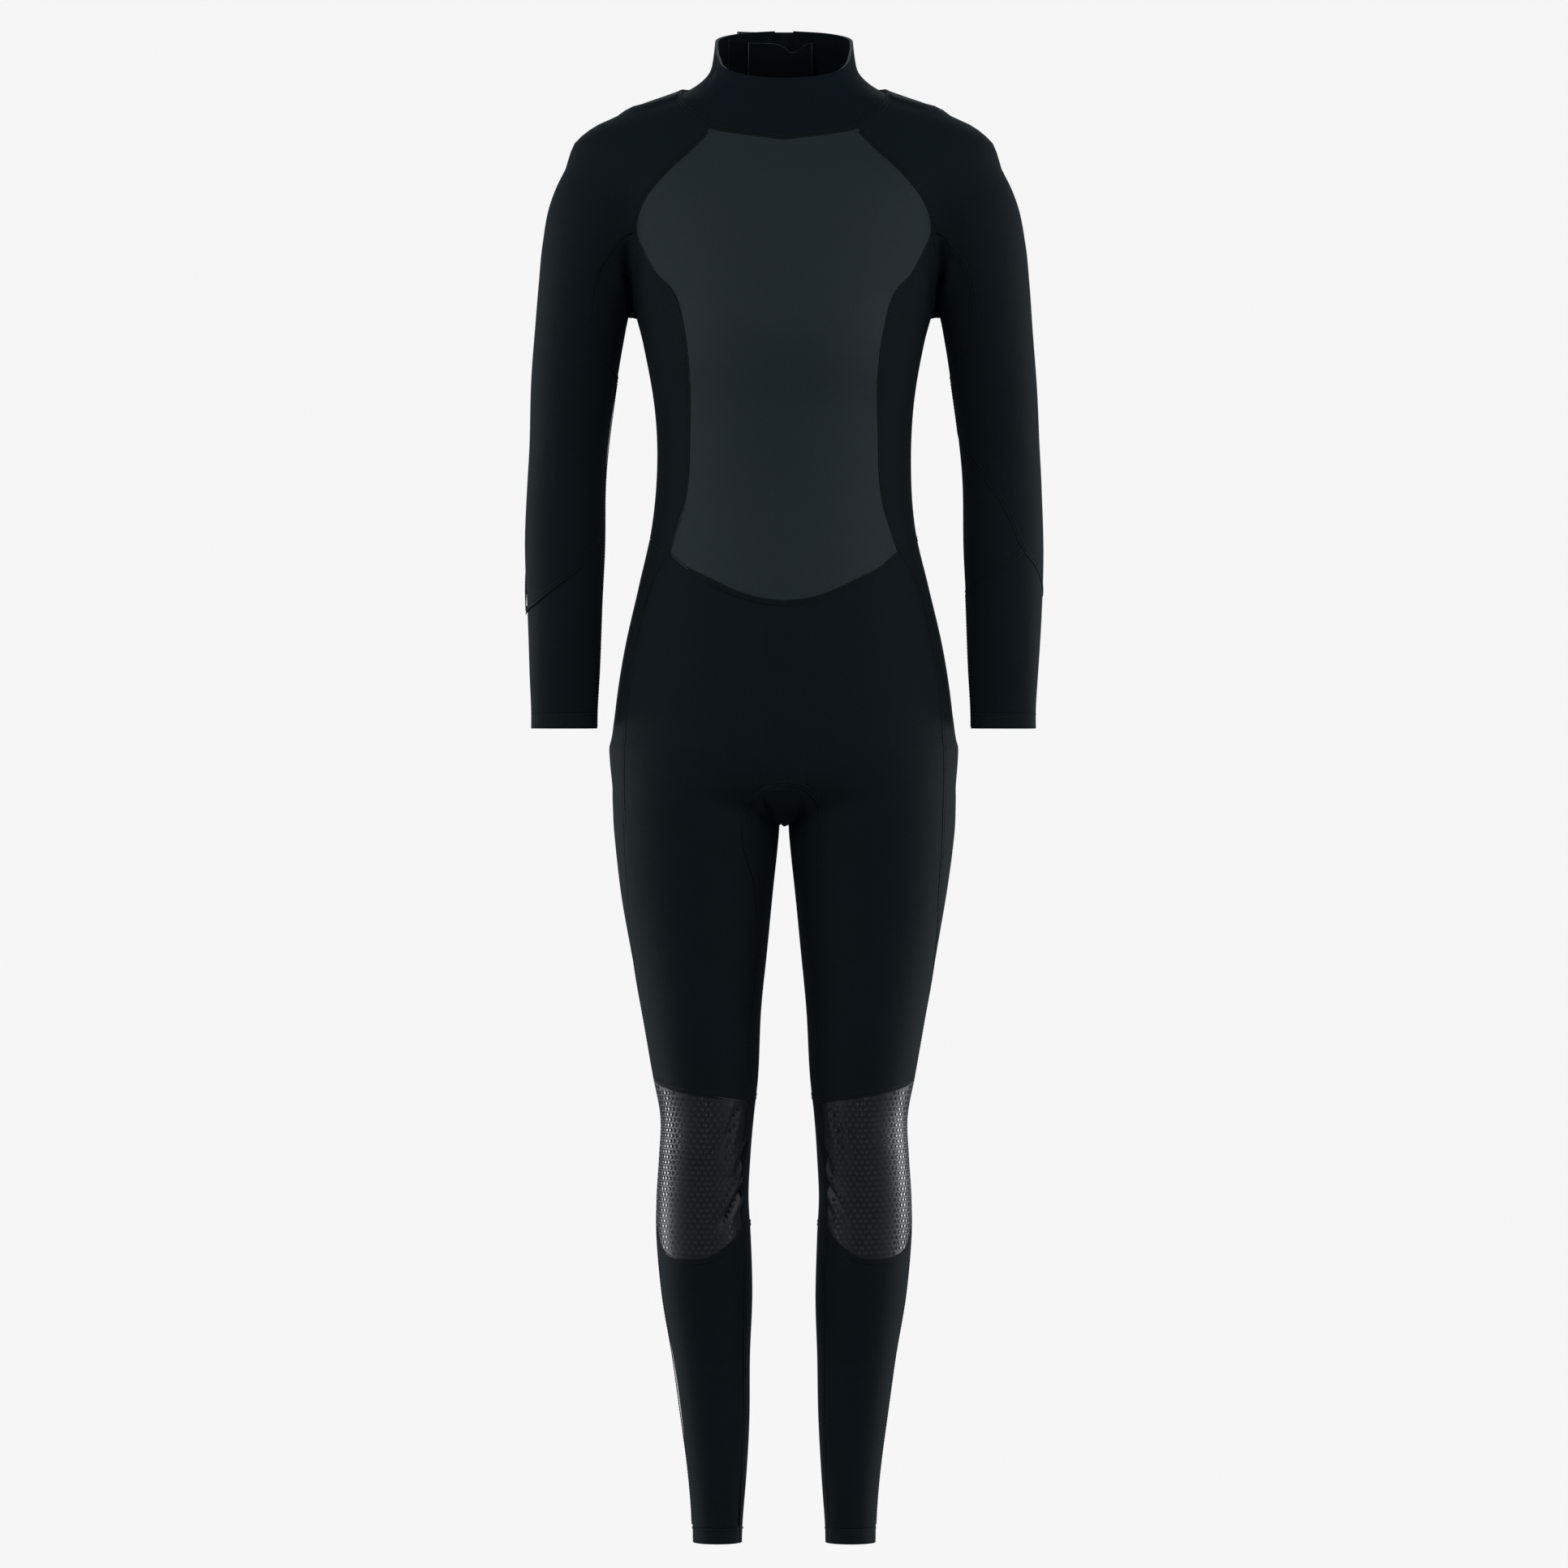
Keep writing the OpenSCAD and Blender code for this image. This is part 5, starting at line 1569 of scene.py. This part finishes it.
@dataclass
class CollarParts:
    """What belongs to the neck: tab with hook and loop tape, guard flap, facing and tape end."""

    kit: Kit
    tab_root: float = -136.0
    tab_tip: float = -205.0
    tab_low: float = 1401.0
    tab_high: float = 1447.0
    tab_lift: float = 2.65
    tab_thickness: float = 3.0
    patch: float = 0.8
    flap_depth: float = 6.8
    flap_thickness: float = 2.4
    hinge: float = -149.5

    def _wrap(self, q0: float, q1: float, z0: float, z1: float, lift: Array | float, round_tip: float = 0.0) -> Array:
        """A patch round the neck, with its second end rounded."""
        q = np.linspace(q0, q1, count(abs(q1 - q0) * 1.25, 2.2))
        s = np.linspace(-1, 1, count(z1 - z0, 2.2))[:, None]
        left = np.clip(np.abs(q1 - q) * 1.25, 0, None)
        half = (z1 - z0) / 2
        squeeze = np.ones(len(q))
        if round_tip:
            near = left < round_tip
            arc = np.sqrt(np.clip(1 - (1 - left[near] / round_tip) ** 2, 0.02, 1))
            squeeze[near] = 1 - (1 - arc) * round_tip / half
        z = (z0 + z1) / 2 + s * half * squeeze
        grid = self.kit.form.girth(q + 0 * s, z)
        return grid + self.kit.form.normal(grid) * (np.zeros_like(z) + lift)[..., None]

    def _sheet(
        self, name: str, grid: Array, thickness: float, bevel: float, *materials: bpy.types.Material
    ) -> bpy.types.Object:
        """A closed sheet with rounded edges."""
        kit = self.kit
        obj = dressed(grid_mesh(name, grid, kit.place, kit.form.normal(grid)), *materials)
        thicken(obj, thickness, rim=len(materials) - 1)
        if bevel:
            edge = obj.modifiers.new("edge", "BEVEL")
            edge.width = bevel / 1000
            edge.segments = 2
            edge.angle_limit = math.radians(50)
        return obj

    def build_tab(self) -> None:
        """The closing tab, sewn on at its root and free from the hinge on."""
        fin = self.kit.finishes
        grid = self._wrap(self.tab_root, self.tab_tip, self.tab_low, self.tab_high, 0.0, 12.0)
        q = np.linspace(self.tab_root, self.tab_tip, grid.shape[1])
        rise = 0.5 + (self.tab_lift - 0.5) * np.clip((self.tab_root - 6 - q) / 14, 0, 1)
        lift = rise[None, :] + self.tab_thickness
        grid = grid + self.kit.form.normal(grid) * (lift + 0 * grid[..., 0])[..., None]
        tab = self._sheet("collar_tab_cloth", grid, self.tab_thickness, 0.7, fin.collar, fin.foam)
        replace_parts(tab, "collar_tab", "collar_tab_base")
        mid = (self.tab_low + self.tab_high) / 2
        turns = (self.hinge + 3.0, self.hinge - 3.0)
        ends = [self.kit.place.metres(self.kit.form.girth(np.array(q), np.array(mid))) for q in turns]
        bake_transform(tab)
        grid_under = self._wrap(-191, -203.5, 1405, 1439, self.tab_lift - 0.1, 6.0)
        hook = self._sheet("hook_patch_tape", grid_under, self.patch, 0, fin.hook)
        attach(hook, "collar_tab")
        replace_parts(hook, "hook_patch")
        grid_under = self._wrap(-222, -190, 1404, 1440, 0.5 + self.patch)
        loop = self._sheet("loop_patch_tape", grid_under, self.patch, 0, fin.loop)
        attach(loop, "suit")
        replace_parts(loop, "loop_patch")
        self._tab_thread(grid)

    def _tab_thread(self, grid: Array) -> None:
        """Stitches at the tab's root."""
        kit = self.kit
        bm = bmesh.new()
        line = grid[3:-3, 3]
        up = kit.form.normal(line)
        run = unit(np.gradient(line, axis=0))
        kit.stitches(bm, line + up * 0.1, run, up, (1.9, 0.6, 0.5))
        obj = dressed(new_object("tab_root_thread", bm), kit.finishes.thread)
        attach(obj, "suit")

    def build_inside(self) -> None:
        """Guard flap behind the zip, collar facing and the end of the inner tape."""
        kit, form, fin = self.kit, self.kit.form, self.kit.finishes
        x = np.linspace(-38, 30, 24)
        s = np.linspace(0, 1, 120)[:, None]
        top = 1437 - 8.5 * np.exp(-(((x - 9) / 10) ** 2))
        z = mix(890.0, top, s)
        grid = form.face(x + 0 * z, z, Face.REAR)
        sway = 0.5 * np.sin(z / 34 + x / 15) * np.clip((z - 1380) / 40, 0, 1)
        grid = grid - form.normal(grid) * (self.flap_depth - sway)[..., None]
        flap = self._sheet("zip_guard_flap_cloth", grid, self.flap_thickness, 0.5, fin.shaded_lining, fin.foam)
        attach(flap, "suit")
        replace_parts(flap, "zip_guard_flap")
        x = np.linspace(-24, -14, 6)
        z = np.linspace(1392, 1437, 24)[:, None]
        grid = form.face(x + 0 * z, z, Face.REAR)
        tape = self._sheet("collar_zip_tape_strip", grid - form.normal(grid) * 4.6, 0.9, 0, fin.tape)
        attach(tape, "suit")
        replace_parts(tape, "collar_zip_tape")
        x = np.linspace(-56, -8, 20)
        z = np.linspace(1392, 1439, 20)[:, None]
        grid = form.face(x + 0 * z, z, Face.REAR)
        facing = self._sheet("collar_facing", grid - form.normal(grid) * 3.25, 0.9, 0, fin.shaded_lining, fin.foam)
        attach(facing, "suit")

    def build(self) -> None:
        """Builds the neck's small parts."""
        self.build_tab()
        self.build_inside()


@dataclass
class BackZip:
    """Coil zip in the back: tapes, teeth, stops, box, slider and pull tab.

    Local coordinates run z up the zip and y outwards from the suit's face.
    """

    kit: Kit
    length: float = 486.0
    tape_width: float = 14.0
    tape_top: float = -3.95
    teeth_top: float = -0.7
    pitch: float = 3.0
    slot_half: float = 0.75
    teeth_low: float = 12.0
    teeth_high: float = 478.0
    tape_gap: float = 0.95
    slider_at: float = 460.0
    slider_length: float = 22.0
    plate_width: float = 11.0
    pin_y: float = 2.3
    pin_z: float = 457.4
    tab_width: float = 10.0
    tab_reach: float = 44.0
    eye: float = 2.2

    def __post_init__(self) -> None:
        """Works out the zip's frame."""
        form = self.kit.form
        tilt = math.radians(form.zip_tilt)
        origin = self.kit.place.metres(np.array([0, form.zip_depth, form.zip_low]))
        self.frame = Matrix.Translation(origin) @ Matrix.Rotation(tilt, 4, "X") @ Matrix.Scale(0.001, 4)

    def box(self, bm: bmesh.types.BMesh, low: Sequence[float], high: Sequence[float], round_by: float = 0.0) -> None:
        """A box between two corners, with rounded edges."""
        size = [h - l for l, h in zip(low, high)]
        middle = Vector([(l + h) / 2 for l, h in zip(low, high)])
        made = bmesh.ops.create_cube(bm, size=1.0, matrix=Matrix.Translation(middle) @ Matrix.Diagonal((*size, 1.0)))
        if round_by:
            self.soften(bm, [e for v in made["verts"] for e in v.link_edges], round_by, 2)

    @staticmethod
    def soften(bm: bmesh.types.BMesh, edges: Sequence[bmesh.types.BMEdge], by: float, segments: int) -> None:
        """Rounds some edges, each named once or twice."""
        geom = list(dict.fromkeys(edges))
        bmesh.ops.bevel(bm, geom=geom, offset=by, segments=segments, profile=0.5, affect="EDGES", material=-1)

    def put(
        self, name: str, bm: bmesh.types.BMesh, material: bpy.types.Material, body: str = "suit"
    ) -> bpy.types.Object:
        """Finishes a piece drawn in the zip's own frame."""
        bmesh.ops.transform(bm, matrix=self.frame, verts=bm.verts)
        obj = dressed(new_object(name, bm), material)
        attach(obj, body)
        return obj

    def tape(self, side: Side) -> None:
        """A woven tape."""
        rows, columns = 122, 8
        x = np.linspace(self.tape_gap, self.tape_gap + self.tape_width, columns) * side.value
        z = np.linspace(0, self.length, rows)[:, None]
        y = self.tape_top - 0.04 + 0.04 * np.cos(z / 1.5) * np.ones_like(x)
        frame = np.array(self.frame)
        local = stack(x + 0 * z, y, z + 0 * x)
        world = (local @ frame[:3, :3].T + frame[:3, 3]) * 1000 - np.array([0, 0, self.kit.place.hem * 1000])
        obj = grid_mesh(f"{side.word}_zip_tape_weave", world, self.kit.place, np.array([0, 1.0, 0]) + 0 * world)
        dressed(obj, self.kit.finishes.tape)
        thicken(obj, 0.85)
        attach(obj, "suit")
        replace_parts(obj, f"{side.word}_zip_tape")

    def teeth(self, side: Side) -> None:
        """The coil of one side: a bead per turn on a cord."""
        bm = bmesh.new()
        turns = int((self.teeth_high - self.teeth_low) / self.pitch)
        centre = (self.tape_top + self.teeth_top) / 2
        tall = self.teeth_top - self.tape_top
        for k in range(turns):
            z = self.teeth_low + k * self.pitch + (self.pitch / 2 if side is Side.RIGHT else 0)
            middle = Vector((side.value * (self.slot_half + 1.35), centre, z + 0.9))
            scale = Matrix.Diagonal((2.55, tall * 0.98, 1.75, 1.0))
            made = bmesh.ops.create_cube(bm, size=1.0, matrix=Matrix.Translation(middle) @ scale)
            edges = [
                e for v in made["verts"] for e in v.link_edges
                if all(end.co.x * side.value < middle.x * side.value for end in e.verts)
            ]
            self.soften(bm, edges, 0.5, 1)
        x = sorted((side.value * 1.9, side.value * 3.3))
        low, high = (x[0], self.tape_top + 0.02, self.teeth_low), (x[1], self.tape_top + 1.6, self.teeth_high)
        self.box(bm, low, high, 0.3)
        obj = self.put(f"{side.word}_zip_coil", bm, self.kit.finishes.plastic)
        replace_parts(obj, f"{side.word}_zip_teeth")

    def ends(self) -> None:
        """Top stops and bottom box."""
        bm = bmesh.new()
        for sign in (-1, 1):
            x = sorted((sign * self.slot_half, sign * (self.slot_half + 2.6)))
            low, high = (x[0], self.tape_top, self.teeth_high + 1), (x[1], self.tape_top + 2.2, self.teeth_high + 6)
            self.box(bm, low, high, 0.4)
        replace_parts(self.put("zip_stops", bm, self.kit.finishes.plastic), "zip_top_stops")
        bm = bmesh.new()
        self.box(bm, (-4, self.tape_top - 0.9, 2), (4, self.tape_top + 2.8, 11.5), 0.7)
        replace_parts(self.put("zip_box", bm, self.kit.finishes.plastic), "zip_bottom_box")

    def plate(self, bm: bmesh.types.BMesh, y: float, thickness: float) -> None:
        """One plate of the slider, narrowed towards its lower end."""
        scale = Matrix.Diagonal((self.plate_width, thickness, self.slider_length, 1.0))
        middle = Matrix.Translation((0, y + thickness / 2, self.slider_at))
        made = bmesh.ops.create_cube(bm, size=1.0, matrix=middle @ scale)
        through = [
            e for v in made["verts"] for e in v.link_edges
            if (e.verts[0].co.xz - e.verts[1].co.xz).length < 1e-6
        ]
        self.soften(bm, through, 2.2, 4)

    def slider(self) -> None:
        """The slider's body with its bridge."""
        bm = bmesh.new()
        z = self.slider_at
        self.plate(bm, -0.4, 1.4)
        self.plate(bm, -6.3, 1.3)
        self.box(bm, (-0.5, -5.2, z + 3), (0.5, 0.2, z + 9))
        for sign in (-1, 1):
            self.box(bm, (sign * 4.7 - 0.5, -2.8, z - 8), (sign * 4.7 + 0.5, 0.2, z + 7), 0.2)
        self.box(bm, (-1.3, 0.8, z - 5.2), (1.3, 4.4, z - 4.0), 0.25)
        self.box(bm, (-1.3, 0.8, z + 4.0), (1.3, 4.4, z + 5.2), 0.25)
        self.box(bm, (-1.3, 3.6, z - 5.2), (1.3, 4.6, z + 5.2), 0.35)
        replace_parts(self.put("zip_slider_body", bm, self.kit.finishes.enamel, "zip_slider"), "zip_slider")

    def pull(self) -> None:
        """The pull tab with its eye."""
        bm = bmesh.new()
        turn = Matrix.Rotation(math.radians(90), 4, "Y")
        y, z = self.pin_y, self.pin_z
        bmesh.ops.create_cone(
            bm, cap_ends=True, segments=20, radius1=1.0, radius2=1.0, depth=7.2,
            matrix=Matrix.Translation((0, y, z)) @ turn,
        )
        for x in (-2.8, 2.8):
            self.box(bm, (x - 0.8, y - 0.8, z - 10.5), (x + 0.8, y + 0.8, z), 0.3)
        self._tab_plate(bm)
        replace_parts(self.put("pull_tab_plate", bm, self.kit.finishes.tab, "pull_tab"), "pull_tab")

    def _tab_plate(self, bm: bmesh.types.BMesh) -> None:
        """A flat plate with a round eye near its end, from a ring bridged to its outline."""
        eye_z = self.pin_z - 37.5
        inner = bmesh.ops.create_circle(bm, cap_ends=False, segments=32, radius=self.eye)["verts"]
        outer = bmesh.ops.create_circle(bm, cap_ends=False, segments=32, radius=self.tab_width / 2)["verts"]
        for v in outer:
            if v.co.y > 0.5:
                v.co.y = 0.5 + (v.co.y - 0.5) * (28.5 / (self.tab_width / 2 - 0.5))
                if abs(v.co.x) > 0.1:
                    v.co.x = math.copysign(min(abs(v.co.x) * 4, self.tab_width / 2), v.co.x)
        edges = [e for v in inner + outer for e in v.link_edges]
        made = bmesh.ops.bridge_loops(bm, edges=list(set(edges)))
        extruded = bmesh.ops.extrude_face_region(bm, geom=made["faces"])
        raised = [g for g in extruded["geom"] if isinstance(g, bmesh.types.BMVert)]
        bmesh.ops.translate(bm, verts=raised, vec=(0, 0, 1.6))
        ring = list({v for v in inner + outer + raised})
        place = Matrix.Translation((0, self.pin_y + 0.8, eye_z)) @ Matrix.Rotation(math.radians(90), 4, "X")
        bmesh.ops.transform(bm, matrix=place, verts=ring)
        bmesh.ops.recalc_face_normals(bm, faces=bm.faces)

    def build(self) -> None:
        """Builds the zip."""
        for side in Side:
            self.tape(side)
            self.teeth(side)
        self.ends()
        self.slider()
        self.pull()


@dataclass
class HemStitches:
    """The row of stitching that holds each turned hem."""

    kit: Kit
    pitch: float = 2.6

    def build(self) -> None:
        """Stitches wrists and ankles."""
        kit, p = self.kit, self.kit.pattern
        for side in Side:
            hems = (("wrist", kit.form.arm, p.wrist + p.hem - 1.4), ("ankle", kit.form.leg, p.hem - 1.4))
            for name, ring, z in hems:
                q = np.linspace(0, 360, 400)
                line = ring(q, z + 0 * q)
                length = np.concatenate([[0], np.cumsum(np.linalg.norm(np.diff(line, axis=0), axis=1))])
                s = np.arange(0, length[-1], self.pitch)
                points = kit.form.settle(np.stack([np.interp(s, length, c) for c in line.T], 1), 2)
                up = kit.form.normal(points)
                run = unit(np.gradient(points, axis=0))
                bm = bmesh.new()
                laid = kit.both(kit.drape.lay(points, 0.12), side)
                kit.stitches(bm, laid, kit.both(run, side), kit.both(up, side), (1.8, 0.6, 0.5))
                obj = dressed(new_object(f"{side.word}_{name}_thread", bm), kit.finishes.thread)
                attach(obj, "suit")


@dataclass
class Studio:
    """Camera, floor, backdrop and light."""

    place: Place
    distance: float = 10.0
    frame_height: float = 1.499
    elevation: float = 0.3
    aim: float = 725.0
    floor_gap: float = 0.18

    def build(self) -> None:
        """Sets the scene round the suit."""
        scene = bpy.context.scene
        scene.view_settings.view_transform = "Standard"
        target = Vector((0, 0, self.aim / 1000 + self.place.hem))
        data = bpy.data.cameras.new("camera")
        data.sensor_width = 36
        data.lens = 36 * self.distance / self.frame_height
        camera = bpy.data.objects.new("camera", data)
        tilt = math.radians(self.elevation)
        camera.location = target + Vector((0, -self.distance * math.cos(tilt), self.distance * math.sin(tilt)))
        camera.rotation_euler = (math.radians(90) - tilt, 0, 0)
        scene.collection.objects.link(camera)
        scene.camera = camera
        self._world(scene)
        self._floor()
        self._light("key", (-2.6, -3.4, 1.6), 2.4, 60)
        self._light("fill", (2.8, -3.2, 1.0), 2.4, 52)
        self._light("left_strip", (-2.6, -0.4, -0.4), 1.6, 26)
        self._light("right_strip", (2.6, -0.4, -0.4), 1.6, 26)
        self._light("back", (0.0, 3.0, 2.2), 2.6, 40)
        self._light("left_rim", (-2.3, 1.2, -0.9), 1.3, 34)
        self._light("right_rim", (2.3, 1.2, -0.9), 1.3, 34)

    def _world(self, scene: bpy.types.Scene) -> None:
        """Even, dim surroundings."""
        world = bpy.data.worlds.new("world")
        world.use_nodes = True
        world.node_tree.nodes["Background"].inputs["Color"].default_value = (0.8, 0.9, 1.0, 1)
        world.node_tree.nodes["Background"].inputs["Strength"].default_value = 0.25
        scene.world = world

    def _floor(self) -> None:
        """A pale floor that runs on as a backdrop all round."""
        bm = bmesh.new()
        bmesh.ops.create_circle(bm, cap_ends=True, segments=64, radius=40.0)
        floor = new_object("floor", bm)
        floor.location.z = self.place.hem - self.floor_gap
        bm = bmesh.new()
        bmesh.ops.create_cone(bm, cap_ends=False, segments=64, radius1=39.0, radius2=39.0, depth=40.0)
        wall = new_object("backdrop", bm)
        material = bpy.data.materials.new("studio")
        material.use_nodes = True
        shader = material.node_tree.nodes["Principled BSDF"]
        shader.inputs["Base Color"].default_value = (0.02, 0.02, 0.02, 1)
        shader.inputs["Specular IOR Level"].default_value = 0.0
        shader.inputs["Roughness"].default_value = 1.0
        shader.inputs["Emission Color"].default_value = (1, 1, 1, 1)
        shader.inputs["Emission Strength"].default_value = 0.915
        dressed(floor, material)
        dressed(wall, material)
        for obj in (floor, wall):
            obj.visible_diffuse = False
            obj.visible_glossy = False
            obj.visible_shadow = False

    def _light(self, name: str, at: tuple[float, float, float], size: float, power: float) -> None:
        """A large soft light that looks at the suit's middle."""
        data = bpy.data.lights.new(name, "AREA")
        data.shape = "DISK"
        data.size = size
        data.energy = power
        light = bpy.data.objects.new(name, data)
        light.location = at
        target = Vector((0, 0, self.place.hem + 0.75))
        light.rotation_euler = (target - Vector(at)).to_track_quat("-Z", "Y").to_euler()
        bpy.context.scene.collection.objects.link(light)


def main() -> None:
    """Builds the scene."""
    logging.basicConfig(level=logging.INFO, format="%(message)s")
    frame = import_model()
    low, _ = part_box("left_calf_panel")
    place = Place(hem=-1.360)
    log.info("%d nodes in the frame, lowest calf point %.4f", len(frame["nodes"]), low[2])
    Studio(place).build()
    form = Form()
    pattern = Pattern(form)
    kit = Kit(form, pattern, Drape(form, suit_folds()), place, Finishes())
    Panels(kit).build()
    Seams(kit).build()
    KneeDots(kit).build()
    CollarParts(kit).build()
    BackZip(kit).build()
    HemStitches(kit).build()


if __name__ == "__main__":
    main()
